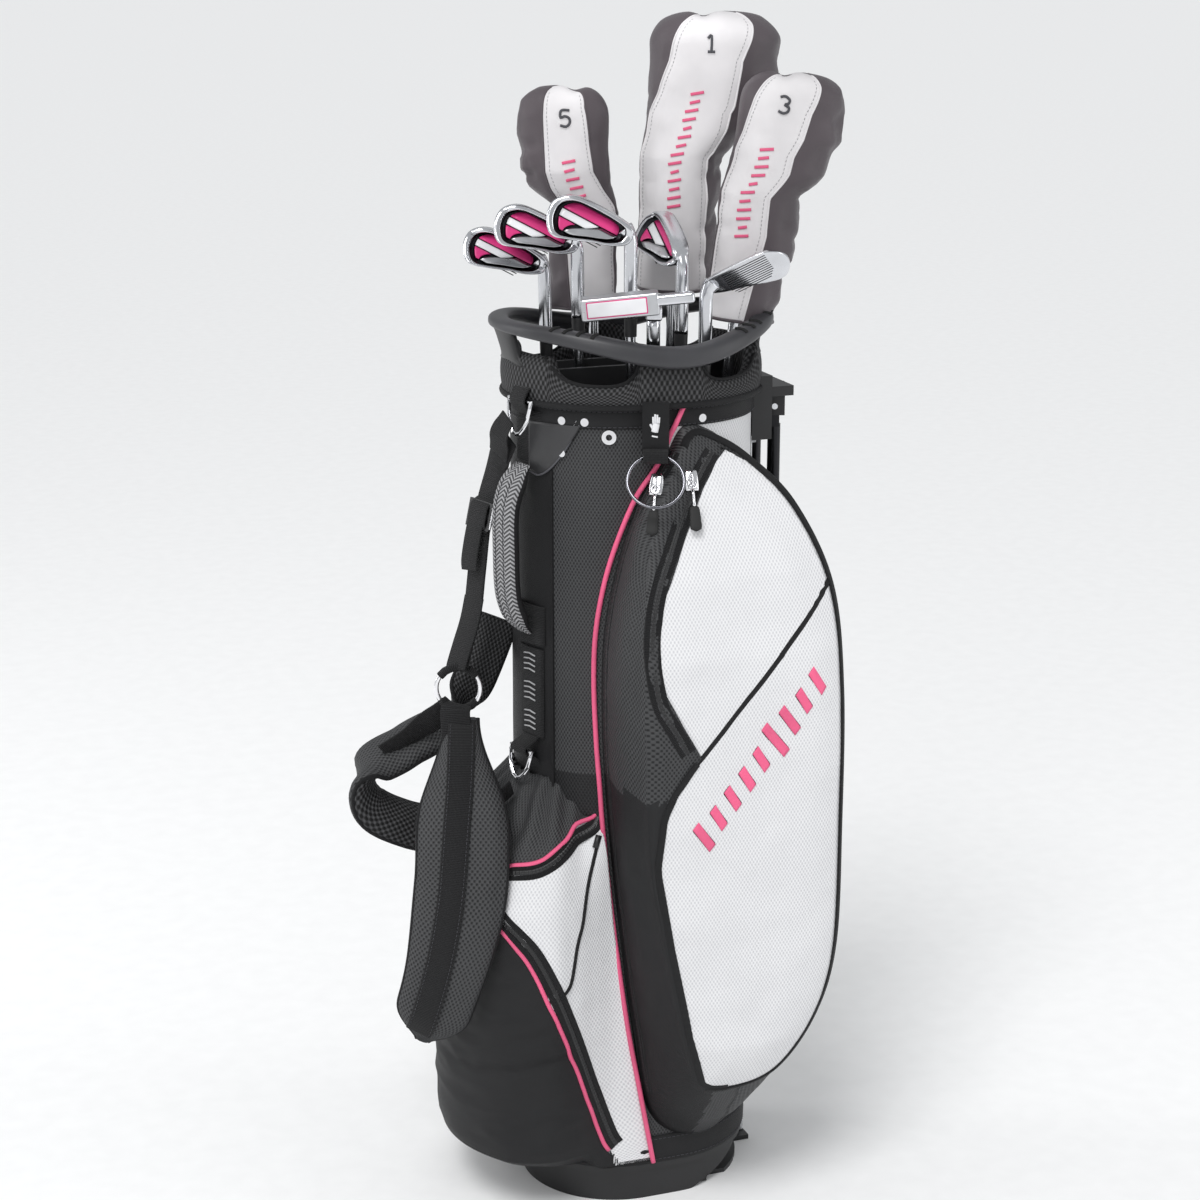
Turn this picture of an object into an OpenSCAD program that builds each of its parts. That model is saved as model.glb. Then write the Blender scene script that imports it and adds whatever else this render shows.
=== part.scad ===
// Golf club set in a stand bag: three covered woods, five irons and a putter.
// +X points to the folding legs, -X to the carry handle, -Y to the large pocket.
// The origin is on the floor, in the middle of the bag's foot.

/* [Bag body] */
// Size of the fabric tube from the handle side to the leg side
bag_w = 244; // [242:1:246]
// Size of the fabric tube across its pocket side
bag_d = 204; // [202:1:206]
// Height of the tube's top edge above the floor
tube_top = 850; // [848:1:856]
// Height of the moulded base cup
base_h = 42; // [40:1:44]

/* [Stand] */
// Angle at which the base is cut away under the leg side
slant = 20; // [19:1:22]
// Length of each leg from its pivot to the top of its rubber foot
leg_l = 690; // [640:10:700]
// Outer radius of the aluminium leg tube
leg_r = 6.5; // [6:0.5:7]

/* [Clubs] */
// Playing length of the driver
driver_l = 1110; // [1100:2:1120]
// Playing length of the longest iron
iron_l = 970; // [960:2:974]
// Difference in length from one iron to the next
iron_step = 12.7; // [12:0.1:13]
// Radius of a grip at its butt end
grip_r = 13; // [12:0.25:13.25]

/* [Pockets] */
// How far the large pocket's face stands from the bag's middle
pocket_reach = 188; // [182:1:196]

/* [Hidden] */

fit = 0.15;          // clearance of a glued or sleeved part
hidden_gap = 0.3;    // clearance between curved skins
tube_wall = 3;
base_w = 232;
base_d = 196;
cup_wall = 4;
hinge_x = 46;        // axis of the foot plate
hinge_z = 8;
slant_x = hinge_x - 12;
pin_r = 3;
plate_end = 134;     // tip of the foot plate, under the pull rod
collar_w = bag_w + 12;
collar_d = bag_d + 12;
mouth_w = bag_w - 16;
mouth_d = bag_d - 16;
collar_top = 884;
window_z = 858;
rim_z = 900.5;       // mean height of the wavy rim
rim_wave = 11;
rod_x = 129;
leg_x = 145;
leg_y = 24;
pivot_z = 818;
splay = 22;
butt_z = 46;         // height at which the grips stand
fan_z = 870;         // height at which the club positions below are given
fan = 0.82;          // how much closer together the grips stand at the bottom
tip_r = 4.7;         // shaft radius in the hosel
tip_fit = 0.35;      // and its clearance there, as the shaft tapers
tip_short = 36;      // how far the shaft's end stops short of the sole
iron_mouth = 92;     // and how far each kind of hosel's mouth does
wood_mouth = 84;
putter_mouth = 50;
lie = 28;            // lean of the sole line across the shaft
wood_toe = 0.30;     // middle of a wood's head from its hosel, as a share of its width
wood_back = 0.22;    // and of its depth

// Clubs: x, y at fan_z, direction of the toe, playing length, loft, and a fan of its own.
driver = [68.3, 66.3, -20, driver_l, 12];
fairway = [95, -25, -20, driver_l - 46, 18, 0.05];
hybrid = [-11, 79.5, 160, driver_l - 70, 24];
six_iron = [-16, -40, 160, iron_l, 27];
seven_iron = [-52, 9.3, 160, iron_l - iron_step, 31];
eight_iron = [35.5, -42.7, 87.5, iron_l - 2 * iron_step, 35];
nine_iron = [-73, 46.2, 160, iron_l - 3 * iron_step, 39];
wedge = [47, -75.6, -28.5, iron_l - 4 * iron_step, 44];
putter = [-5.1, -72.6, -20, 896, 4];

// ---------------------------------------------------------------- helpers

function spline(a, b, c, d, t) =
    0.5 * (2 * b + (c - a) * t + (2 * a - 5 * b + 4 * c - d) * t * t
           + (3 * b - a - 3 * c + d) * t * t * t);

// A smooth open curve through points p, with n steps a span.
function smooth(p, n = 4) = [
    for (i = [0:len(p) - 2], k = [0:n - 1])
        spline(p[max(i - 1, 0)], p[i], p[i + 1], p[min(i + 2, len(p) - 1)], k / n),
    p[len(p) - 1]
];

// A smooth closed curve through points p.
function smooth_loop(p, n = 4) = [
    for (i = [0:len(p) - 1], k = [0:n - 1])
        spline(p[(i + len(p) - 1) % len(p)], p[i], p[(i + 1) % len(p)],
               p[(i + 2) % len(p)], k / n)
];

function unit(v) = v / norm(v);

// Unit cross-sections for swept bands: across the band, then through it.
flat_section = [[1, 1], [-1, 1], [-1, -1], [1, -1]];
pad_section = [for (a = [0:30:359]) [pow(abs(cos(a)), 0.6) * sign(cos(a)), sin(a)]];

// A band swept along path. side[i] is the direction across the band, w[i] its
// half width and t[i] its half thickness.
module band(path, side, w, t, section) {
    n = len(path);
    m = len(section);
    points = [
        for (i = [0:n - 1])
            let (along = unit(path[min(i + 1, n - 1)] - path[max(i - 1, 0)]),
                 across = unit(side[i] - along * (side[i] * along)),
                 through = cross(along, across))
            for (s = section) path[i] + across * s[0] * w[i] + through * s[1] * t[i]
    ];
    walls = [
        for (i = [0:n - 2], k = [0:m - 1])
            let (a = i * m + k, b = i * m + (k + 1) % m)
            each [[a, a + m, b], [b, a + m, b + m]]
    ];
    polyhedron(points, concat(
        [[for (k = [0:m - 1]) k]], walls, [[for (k = [m - 1:-1:0]) (n - 1) * m + k]]));
}

// A closed ring of round wire swept along loop.
module wire(loop, r) {
    n = len(loop);
    m = 10;
    points = [
        for (i = [0:n - 1])
            let (along = unit(loop[(i + 1) % n] - loop[(i + n - 1) % n]),
                 up = abs(along[2]) > 0.9 ? [1, 0, 0] : [0, 0, 1],
                 across = unit(cross(along, up)),
                 through = cross(along, across))
            for (k = [0:m - 1])
                loop[i] + r * (across * cos(k * 360 / m) + through * sin(k * 360 / m))
    ];
    polyhedron(points, [
        for (i = [0:n - 1], k = [0:m - 1])
            let (a = i * m + k, b = i * m + (k + 1) % m,
                 c = ((i + 1) % n) * m + k, d = ((i + 1) % n) * m + (k + 1) % m)
            each [[a, c, b], [b, c, d]]
    ]);
}

// A round-ended oval, w along X and d along Y.
module oval(w, d) {
    square([w - d, d], center = true);
    for (s = [-1, 1]) translate([s * (w - d) / 2, 0]) circle(d = d, $fn = 96);
}

module oval_bar(w, d, h) {
    linear_extrude(h) oval(w, d);
}

// A wall that follows the oval, from the floor height z up.
module oval_wall(w, d, wall, h) {
    linear_extrude(h) difference() {
        oval(w, d);
        oval(w - 2 * wall, d - 2 * wall);
    }
}

// ---------------------------------------------------------------- base and foot

// Everything under the slanted underside, moved up by rise.
module under_slant(rise) {
    translate([slant_x, -150, rise])
        rotate([0, -slant, 0])
            translate([0, 0, -60]) cube([150, 300, 60]);
}

module base_cup() {
    color("dimgray") difference() {
        union() {
            difference() {
                union() {
                    oval_bar(base_w, base_d, base_h - 8);
                    translate([0, 0, base_h - 8]) oval_bar(bag_w, bag_d, 8);
                }
                difference() {
                    translate([0, 0, 5]) oval_bar(base_w - 2 * cup_wall, base_d - 2 * cup_wall, base_h);
                    under_slant(6);
                }
                under_slant(0);
            }
            for (y = [-35, 35]) at_foot_hinge(y) cylinder(r = 7.5, h = 28, center = true, $fn = 48);
        }
        for (y = [-70, 0, 70]) {
            at_foot_hinge(y) cylinder(r = 9, h = 42, center = true, $fn = 48);
            translate([hinge_x - 9, y - 21, -1]) cube([24, 42, 9]);
        }
        at_foot_hinge(0) cylinder(r = pin_r, h = 176, center = true, $fn = 48);
    }
}

// Places children on the foot plate's axis at y, with their Z along it.
module at_foot_hinge(y) {
    translate([hinge_x, y, hinge_z]) rotate([90, 0, 0]) children();
}

module base_pad() {
    pad_w = base_w - 2 * cup_wall - 1;
    pad_d = base_d - 2 * cup_wall - 1;
    color("black") difference() {
        translate([0, 0, 20]) oval_bar(pad_w, pad_d, butt_z - 20.3);
        under_slant(6.3);
    }
}

module foot_plate() {
    color("black") difference() {
        union() {
            intersection() {
                translate([hinge_x + 8, -76, 0]) cube([plate_end - hinge_x - 8, 152, 5]);
                union() {
                    oval_bar(base_w, base_d, 5);
                    translate([0, -16, 0]) cube([plate_end, 32, 5]);
                }
            }
            for (y = [-70, 0, 70]) {
                at_foot_hinge(y) cylinder(r = 7, h = 36, center = true, $fn = 48);
                translate([hinge_x, y - 18, 1]) cube([9, 36, 4]);
            }
        }
        at_foot_hinge(0) cylinder(r = pin_r + 0.05, h = 240, center = true, $fn = 48);
        for (x = [64:12:112]) translate([x, -60, -1]) cube([3, 120, 2]);
    }
}

module foot_hinge_pin() {
    color("silver") at_foot_hinge(0) cylinder(r = pin_r, h = 176, center = true, $fn = 48);
}

// ---------------------------------------------------------------- bag body

module bag_tube() {
    color("darkslategray") translate([0, 0, base_h])
        oval_wall(bag_w, bag_d, tube_wall, tube_top - base_h);
}

module tube_stays() {
    color("black") for (s = [-1, 1], t = [-1, 1])
        translate([s * (mouth_w / 2 - 10), t * 42, base_h + 5])
            cylinder(r = 3, h = tube_top - base_h - 8, $fn = 24);
}

// Finger windows under the rim, at both ends of the pocket side and the back.
module windows() {
    for (s = [-1, 1], t = [-1, 1])
        translate([s * 70 - 36, t * 84 - 40, window_z]) cube([72, 80, 60]);
}

module top_collar() {
    color("black") difference() {
        translate([0, 0, tube_top - 12]) oval_bar(collar_w, collar_d, collar_top - tube_top + 12);
        translate([0, 0, tube_top - 13]) oval_bar(mouth_w, mouth_d, 90);
        translate([0, 0, tube_top - 13]) oval_bar(bag_w + 0.6, bag_d + 0.6, 13);
        windows();
    }
}

module divider_grid() {
    grid_z = tube_top - 50;
    color("black") translate([0, 0, grid_z]) intersection() {
        oval_bar(mouth_w - 0.6, mouth_d - 0.6, 66);
        union() {
            translate([-130, 26, 0]) cube([260, 6, 66]);
            translate([12, -130, 0]) cube([6, 156, 66]);
            translate([25, 32, 0]) cube([6, 120, 66]);
            translate([-130, -19, 0]) cube([142, 6, 66]);
        }
    }
}

function rim_point(a, grow = 0) = [
    (collar_w / 2 + 5 + grow) * cos(a),
    (collar_d / 2 + 5 + grow) * sin(a),
    rim_z + rim_wave * cos(2 * a)
];

module throat_handle() {
    steps = 72;
    rail = [for (i = [0:steps]) rim_point(i * 360 / steps)];
    posts = [8, -8, 172, 188];
    color("gray") {
        wide_ring([for (i = [0:steps - 1]) rail[i]], 10, 5.5);
        for (a = posts) hull() {
            translate(rim_point(a)) sphere(5, $fn = 16);
            translate([rim_point(a)[0] * 0.91, rim_point(a)[1] * 0.91, collar_top])
                cylinder(r = 6, h = 2, $fn = 16);
        }
    }
}

// A closed rail with an oval section, half as wide as w and half as high as t.
module wide_ring(loop, w, t) {
    n = len(loop);
    m = 12;
    points = [
        for (i = [0:n - 1])
            let (out = unit([loop[i][0], loop[i][1], 0]))
            for (k = [0:m - 1])
                loop[i] + out * w * cos(k * 360 / m) + [0, 0, t * sin(k * 360 / m)]
    ];
    polyhedron(points, [
        for (i = [0:n - 1], k = [0:m - 1])
            let (a = i * m + k, b = i * m + (k + 1) % m,
                 c = ((i + 1) % n) * m + k, d = ((i + 1) % n) * m + (k + 1) % m)
            each [[a, b, c], [b, d, c]]
    ]);
}

// ---------------------------------------------------------------- pockets

// A solid through rings of points, all the same length. Each ring runs
// counter-clockwise as seen from the end the rings advance to.
module loft(rings) {
    m = len(rings[0]);
    n = len(rings);
    polyhedron([for (r = rings) each r], concat(
        [[for (k = [0:m - 1]) k]],
        [for (i = [0:n - 2], k = [0:m - 1])
            let (a = i * m + k, b = i * m + (k + 1) % m, c = a + m, d = b + m)
            each [[a, c, d], [a, d, b]]],
        [[for (k = [m - 1:-1:0]) (n - 1) * m + k]]));
}

// Seam of the large pocket on the tube, from its top down the left side: x, z.
pocket_seam = smooth_loop([
    [10, 818], [-10, 785], [-34, 748], [-52, 695], [-66, 620], [-68, 520], [-62, 410],
    [-53, 316], [-40, 206], [-20, 100], [30, 66], [84, 80], [112, 150], [118, 270],
    [119, 420], [118, 560], [112, 665], [92, 748], [62, 794], [36, 812]
], 2);

// Edge of the large pocket's face, point for point with its seam: x, y, z.
pocket_edge = smooth_loop([
    [14, -106, 812], [22, -120, 778], [-20, -142, 728], [-39, -162, 676],
    [-46, -174, 600], [-47, -178, 500], [-42, -178, 400], [-27, -178, 315],
    [-6, -176, 216], [16, -168, 158], [50, -162, 146], [98, -162, 160],
    [136, -168, 215], [155, -172, 290], [157, -174, 420], [156, -172, 560],
    [147, -160, 665], [116, -136, 742], [76, -117, 786], [42, -108, 806]
], 2);

// Point p moved wall millimetres towards the middle of the large pocket.
function inward(p, wall) =
    p + wall * unit([53, -60, max(200, min(700, p[2]))] - p);

// A seam point laid on the tube's skin, gap millimetres clear of it.
function on_tube(p, gap) =
    let (flat = (bag_w - bag_d) / 2, r = bag_d / 2, x = max(0, abs(p[0]) - flat))
    [p[0], -gap - sqrt(r * r - x * x), p[2]];

// Rings of the large pocket's skin, wall millimetres inside its outer surface.
function pocket_rings(wall) =
    let (edge = [for (p = pocket_edge) inward(p, wall)])
    [
        [for (p = pocket_seam) on_tube(inward([p[0], -88, p[1]], wall), 1)],
        edge,
        [for (p = edge) inward(p, 8) - [0, 6, 0]],
        [for (p = edge) [53 + 0.5 * (p[0] - 53), wall - pocket_reach, 450 + 0.5 * (p[2] - 450)]]
    ];

// A cup between two stacks of rings: closed over the last rings, open at the first.
module cup(outer, inner) {
    m = len(outer[0]);
    n = len(outer);
    skin = function (first, out) [
        for (i = [0:n - 2], k = [0:m - 1])
            let (a = first + i * m + k, b = first + i * m + (k + 1) % m, c = a + m, d = b + m)
            each out ? [[a, c, d], [a, d, b]] : [[a, d, c], [a, b, d]]
    ];
    last = (n - 1) * m;
    polyhedron([for (r = concat(outer, inner)) each r], concat(
        skin(0, true), skin(n * m, false),
        [[for (k = [m - 1:-1:0]) last + k], [for (k = [0:m - 1]) n * m + last + k]],
        [for (k = [0:m - 1])
            let (a = k, b = (k + 1) % m, c = n * m + a, d = n * m + b)
            each [[a, b, d], [a, d, c]]]));
}

module apparel_pocket() {
    color("whitesmoke") cup(pocket_rings(0), pocket_rings(4));
}

// Plan outline of the pockets on the handle side, from the back round to the front.
ball_plan = smooth_loop([
    [-58, 97], [-100, 104], [-155, 90], [-196, 52], [-208, 0], [-200, -52],
    [-172, -98], [-130, -116], [-90, -112], [-58, -97], [-30, -50], [-30, 50]
], 3);

// How far that outline reaches out, from its bottom to its top: share, z.
ball_profile = [[0.72, 46], [0.9, 60], [1, 95], [1, 300], [0.96, 355], [0.82, 405], [0.52, 462]];

module ball_form(wall) {
    loft([for (r = ball_profile)
        let (share = r[0] - wall / 168, z = max(46 + wall, min(462 - wall, r[1])))
        [for (p = ball_plan) [-40 + share * (p[0] + 40), share * p[1], z]]]);
}

// The side pocket's part of the pair: everything above the slanting seam.
module above_seam(gap) {
    translate([-125, -200, 208]) rotate([0, 66, 0])
        translate([-400, 0, gap]) cube([800, 400, 400]);
}

module ball_shell() {
    difference() {
        ball_form(0);
        ball_form(4);
        translate([0, 0, 20]) oval_bar(bag_w + 0.8, bag_d + 0.8, 900);
    }
}

module ball_pocket() {
    color("black") difference() {
        ball_shell();
        above_seam(0);
    }
}

module side_pocket() {
    color("whitesmoke") intersection() {
        ball_shell();
        above_seam(hidden_gap);
    }
}

// ---------------------------------------------------------------- handle and straps

handle_turn = 195;   // where the carry handle sits round the bag
spine_r = 122.3;     // how far out the tube's skin is there
collar_r = 128.5;    // and the collar's
upper_ring = [132, 842];   // straight bar of each D-ring: how far out, and its height
lower_ring = [134, 488];

// Places children on the handle's line, r out from the middle, facing outward.
module on_spine(r, z) {
    rotate([0, 0, handle_turn]) translate([r, 0, z]) children();
}

module carry_handle() {
    grip = smooth([[129, 0, 778], [138, 0, 766], [149, 0, 738], [150, 0, 695], [148, 0, 650],
                   [138, 0, 622], [129, 0, 610]], 3);
    n = len(grip);
    color("gray") rotate([0, 0, handle_turn])
        band(grip, [for (p = grip) [0, 1, 0]],
             [for (i = [0:n - 1]) i < 3 || i > n - 4 ? 15 : 19],
             [for (i = [0:n - 1]) i < 3 || i > n - 4 ? 3 : 8], pad_section);
}

module spine_webbing() {
    color("black") {
        on_spine(spine_r, 500) translate([0, -20, 0]) cube([3, 40, 92]);
        on_spine(spine_r, 594) translate([0, -22, 0]) cube([3, 44, 42]);
        on_spine(spine_r, 778) translate([0, -24, 0]) cube([3, 48, 54]);
        ring_loop(spine_r, lower_ring);
        ring_loop(collar_r, upper_ring);
    }
}

// A tunnel of webbing from radius r out round the straight bar of the D-ring at ring.
module ring_loop(r, ring) {
    difference() {
        on_spine(r, ring[1] - 5) translate([0, -13, 0]) cube([ring[0] + 4 - r, 26, 10]);
        on_spine(ring[0], ring[1]) rotate([90, 0, 0]) cylinder(r = 2.2, h = 40, center = true, $fn = 32);
    }
}

// A D-shaped ring of wire in the local YZ plane, hanging from its straight bar.
function d_ring(w, h) = concat(
    [for (y = [-w / 2:w / 6:w / 2]) [0, y, 0]],
    [for (a = [10:20:170]) [0, w / 2 * cos(a), -h * sin(a)]]);

module strap_d_rings() {
    color("silver") {
        on_spine(upper_ring[0], upper_ring[1]) rotate([0, -8, 0]) wire(d_ring(38, 34), 2);
        on_spine(lower_ring[0], lower_ring[1]) rotate([0, -10, 0]) wire(d_ring(36, 30), 2);
    }
}

strap_hub = [-188, -14, 551];   // middle of the ring that joins the straps
hub_turn = -20;

module upper_strap() {
    run = smooth([
        [-136, -22, 804], [-139, -10, 786], [-142, 4, 764], [-154, 5, 721],
        [-162, 1, 670], [-169, -3, 625], [-180, -9, 594], [-185, -12, 578]
    ], 3);
    color("black") band(run, [for (p = run) [0.29, -0.957, 0]],
                        [for (p = run) 15], [for (p = run) 1.3], flat_section);
}

module strap_buckle() {
    color("black") translate([-157.3, 4, 722]) rotate([-13.5, 0, -73.7]) difference() {
        translate([-20, -1.5, -14]) cube([40, 3, 28]);
        for (z = [-10, 2]) translate([-16, -3, z]) cube([32, 6, 8]);
    }
}

module strap_ring() {
    color("silver") translate(strap_hub) rotate([0, 0, hub_turn]) rotate([90, 0, 0])
        rotate_extrude($fn = 60) translate([22, 0]) circle(r = 2.4, $fn = 20);
}

module front_shoulder_pad() {
    run = smooth([
        [-187, -22, 522], [-194, -42, 490], [-202, -68, 440], [-209, -84, 372],
        [-224, -90, 300], [-240, -84, 240], [-252, -76, 200]
    ], 4);
    n = len(run);
    color("gray") band(run, [for (p = run) [0.94, -0.34, 0]],
         [for (i = [0:n - 1]) i < 5 ? 16 + i * 4 : 50 - 20 * pow((i - 13) / (n - 14), 2)],
         [for (i = [0:n - 1]) i < 3 ? 3 + 3 * i : 12], pad_section);
}

module rear_shoulder_pad() {
    run = smooth([
        [-136, 36, 604], [-158, 34, 548], [-190, 30, 500], [-236, 26, 480], [-274, 22, 462],
        [-272, 15, 426], [-234, 12, 404], [-196, 14, 392]
    ], 4);
    n = len(run);
    color("gray") band(run, [for (p = run) [0.3, 0.9, 0.3]],
         [for (i = [0:n - 1]) 26], [for (i = [0:n - 1]) i < 2 ? 4 : 10], pad_section);
}

module lower_strap() {
    run = smooth([
        [-144, -46, 452], [-160, -51, 441], [-171, -54, 431], [-179, -56, 423]
    ], 4);
    color("black") band(run, [for (p = run) [0.6, 0, 0.8]],
                        [for (p = run) 13], [for (p = run) 1.3], flat_section);
}

// ---------------------------------------------------------------- towel ring, rivets, zips

towel_at = [-20, -119, 795];   // middle of the loop that holds the towel ring
ring_r = 27;
ring_lean = 36;      // how far the towel ring leans out at the bottom

module at_towel() {
    translate(towel_at) rotate([0, 0, -20]) children();
}

module towel_tab() {
    color("black") at_towel() difference() {
        union() {
            rotate([0, 90, 0]) cylinder(r = 7, h = 24, center = true, $fn = 48);
            translate([-12, 3.5, 0]) cube([24, 3, 55]);
            translate([-12, 3.5, 39]) cube([24, 4, 16]);
        }
        rotate([0, 90, 0]) cylinder(r = 5.4, h = 30, center = true, $fn = 48);
    }
}

module towel_ring() {
    color("silver") at_towel() translate([0, 0, 1.5]) rotate([-ring_lean, 0, 0])
        translate([0, 0, -ring_r]) rotate([90, 0, 0])
            rotate_extrude($fn = 72) translate([ring_r, 0]) circle(r = 1.7, $fn = 20);
}

// A rivet whose head stands on the oval skin at polar angle a.
module rivet(a, z, r) {
    side = sign(cos(a)) * (bag_w - bag_d) / 2;
    translate([side, 0, z]) rotate([0, 0, a]) translate([bag_d / 2, 0, 0])
        rotate([0, 90, 0]) cylinder(r = r, h = 2.5, $fn = 32);
}

module rivets() {
    color("silver") {
        rivet(222, 826, 4);
        rivet(222, 794, 3.5);
        rivet(235, 826, 4);
        rivet(278, 826, 4);
        difference() {
            rivet(248, 812, 7);
            translate([-20, 0, 812]) rotate([0, 0, 248]) rotate([0, 90, 0])
                cylinder(r = 3, h = 200, $fn = 32);
        }
    }
}

// A zip slider lying on a surface whose normal is -Y, with its bridge outward.
module slider() {
    difference() {
        translate([-5, -6, -8]) cube([10, 6, 16]);
        for (x = [-6, 2]) translate([x, -3.5, -9]) cube([4, 1.5, 18]);
    }
    difference() {
        translate([-1.8, -9.6, -5]) cube([3.6, 3.7, 10]);
        translate([-3, -8.2, -3]) cube([6, 2.2, 6]);
    }
}

// The tab that hangs from a slider's bridge by a bar through it.
module zip_pull() {
    translate([0, -7.1, 0]) {
        translate([-3.6, 0, 0]) rotate([0, 90, 0]) cylinder(r = 0.8, h = 7.2, $fn = 32);
        difference() {
            translate([-3.6, -0.7, -22]) cube([7.2, 1.4, 22]);
            translate([-2.2, -2, -6]) cube([4.4, 4, 7]);
        }
        translate([-4.5, -1.8, -40]) cube([9, 3.6, 19]);
    }
}

module at_side_zip() {
    translate([-17.2, -115.6, 764]) rotate([-30, 0, -30]) children();
}

module at_pocket_zip() {
    translate([14, -126, 768]) rotate([-30, 0, -12]) children();
}

module side_zip_slider() { color("silver") at_side_zip() slider(); }
module side_zip_pull() { color("silver") at_side_zip() zip_pull(); }
module pocket_zip_slider() { color("silver") at_pocket_zip() slider(); }
module pocket_zip_pull() { color("silver") at_pocket_zip() zip_pull(); }

// ---------------------------------------------------------------- stand

// Places children at a leg's pivot; s is 1 for the left leg and -1 for the right.
module at_pivot(s) {
    translate([leg_x, s * leg_y, pivot_z]) rotate([0, 0, s * splay]) children();
}

module leg_bracket() {
    color("dimgray") difference() {
        union() {
            translate([100, -50, pivot_z - 30]) cube([31, 100, 64]);
            for (s = [-1, 1]) at_pivot(s) for (t = [-1, 1])
                translate([-14, t * 11 - 3, -9]) cube([24, 6, 30]);
            translate([bag_w / 2 + 6, -46, pivot_z + 12]) cube([28, 92, 10]);
        }
        translate([0, 0, 700]) oval_bar(bag_w + 0.8, bag_d + 0.8, 200);
        translate([0, 0, tube_top - 12.5]) oval_bar(collar_w + 0.8, collar_d + 0.8, 100);
        for (s = [-1, 1]) at_pivot(s) {
            rotate([90, 0, 0]) cylinder(r = pin_r, h = 60, center = true, $fn = 48);
            translate([-16, -8, -30]) cube([40, 16, 41.5]);
        }
        translate([rod_x - 7, -9, pivot_z - 60]) cube([14, 18, 120]);
    }
}

module leg_pins() {
    color("silver") for (s = [-1, 1]) at_pivot(s)
        rotate([90, 0, 0]) cylinder(r = pin_r, h = 28, center = true, $fn = 48);
}

module leg(s) {
    at_pivot(s) difference() {
        union() {
            rotate([90, 0, 0]) cylinder(r = 7.5, h = 15, center = true, $fn = 48);
            translate([-5, -7, -22]) cube([10, 14, 20]);
            translate([0, 0, -leg_l]) cylinder(r = leg_r, h = leg_l - 20, $fn = 32);
        }
        rotate([90, 0, 0]) cylinder(r = pin_r + 0.05, h = 40, center = true, $fn = 48);
    }
}

module leg_foot(s) {
    at_pivot(s) translate([0, 0, -leg_l - 22]) {
        cylinder(r1 = 7, r2 = 10, h = 21.9, $fn = 32);
        translate([0, 0, -10]) cylinder(r1 = 10.5, r2 = 12, h = 10.1, $fn = 32);
    }
}

module left_leg() { color("silver") leg(1); }
module right_leg() { color("silver") leg(-1); }
module left_leg_foot() { color("black") leg_foot(1); }
module right_leg_foot() { color("black") leg_foot(-1); }

module pull_rod() {
    color("silver") {
        translate([rod_x, 0, 7]) cylinder(r = 2.5, h = pivot_z - 46, $fn = 32);
        translate([rod_x, 0, 6]) cylinder(r = 4.5, h = 8, $fn = 32);
        translate([rod_x - 4, -7, pivot_z - 42]) cube([8, 14, 10]);
    }
}

module rod_guides() {
    color("black") for (z = [120, 330, 540, 740]) difference() {
        translate([bag_w / 2 + 0.4, -9, z]) cube([13, 18, 14]);
        translate([rod_x, 0, z - 1]) cylinder(r = 2.6, h = 16, $fn = 32);
    }
}

// ---------------------------------------------------------------- clubs

// Children stand on the butt of club c, with +Z up its shaft and +X to its toe.
module place_club(c) {
    own_fan = len(c) > 5 ? c[5] : fan;
    lean = [c[0], c[1]] * (1 - own_fan);
    tilt = atan(norm(lean) / (fan_z - butt_z));
    translate([own_fan * c[0], own_fan * c[1], butt_z + grip_r * sin(tilt)])
        rotate(a = tilt, v = [-lean[1], lean[0], 0])
            rotate([0, 0, c[2]]) children();
}

// Steel tube, rubber grip and ferrule, for a head whose hosel starts mouth short
// of the sole.
module club_shaft(c, mouth) {
    grip_l = 265;
    tube_l = c[3] - tip_short - 6;
    place_club(c) {
        color("silver") translate([0, 0, 6]) cylinder(r1 = 7.6, r2 = tip_r, h = tube_l, $fn = 32);
        color("black") difference() {
            union() {
                cylinder(r = grip_r, h = 5, $fn = 32);
                translate([0, 0, 5]) cylinder(r1 = grip_r - 0.5, r2 = 8.6, h = grip_l - 5, $fn = 32);
            }
            translate([0, 0, 6 - fit]) cylinder(r1 = 7.6 + fit, r2 = tip_r + fit, h = tube_l, $fn = 32);
        }
        color("black") translate([0, 0, c[3] - mouth - 26]) difference() {
            cylinder(r1 = 6, r2 = 6.6, h = 25.5, $fn = 32);
            translate([0, 0, -1]) cylinder(r = tip_r + 0.6, h = 30, $fn = 32);
        }
    }
}

// Outline of an iron's blade, sole upward: x towards the toe, z towards the sole.
blade_edge = smooth_loop([
    [-7, -20], [-6, -6], [8, -1], [40, 0], [62, -3], [75, -15], [76, -31], [69, -45],
    [60, -49], [46, -45], [24, -36], [6, -30]
], 3);

module iron_head(c) {
    l = c[4];
    drop = 49 * cos(l);
    back = 49 * sin(l);
    section = [[-9, 0], [8, 0], [10, -5], [9, -12], [2 + back * 0.4, -drop * 0.4],
               [back - 1, -drop + 3], [back - 1, -drop], [back - 6, -drop]];
    cavity = smooth_loop([[14, -12], [50, -9], [66, -20], [62, -40], [44, -38], [16, -28]], 3);
    color("silver") place_club(c) difference() {
        union() {
            translate([0, 0, c[3] - iron_mouth]) cylinder(r = 6.6, h = 76, $fn = 32);
            translate([0, 0, c[3] - 8]) rotate([0, -lie, 0]) intersection() {
                rotate([90, 0, 0]) translate([0, 0, -60]) linear_extrude(120)
                    polygon([for (p = blade_edge) [p[0], p[1] * cos(l)]]);
                translate([-20, 0, 0]) rotate([90, 0, 90]) linear_extrude(110) polygon(section);
            }
        }
        socket(c, iron_mouth);
    }
}

// Bore for the shaft's tip in a hosel whose mouth is mouth short of the sole.
module socket(c, mouth) {
    translate([0, 0, c[3] - mouth - 1])
        cylinder(r = tip_r + tip_fit, h = mouth + 1.3 - tip_short, $fn = 32);
}

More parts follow.
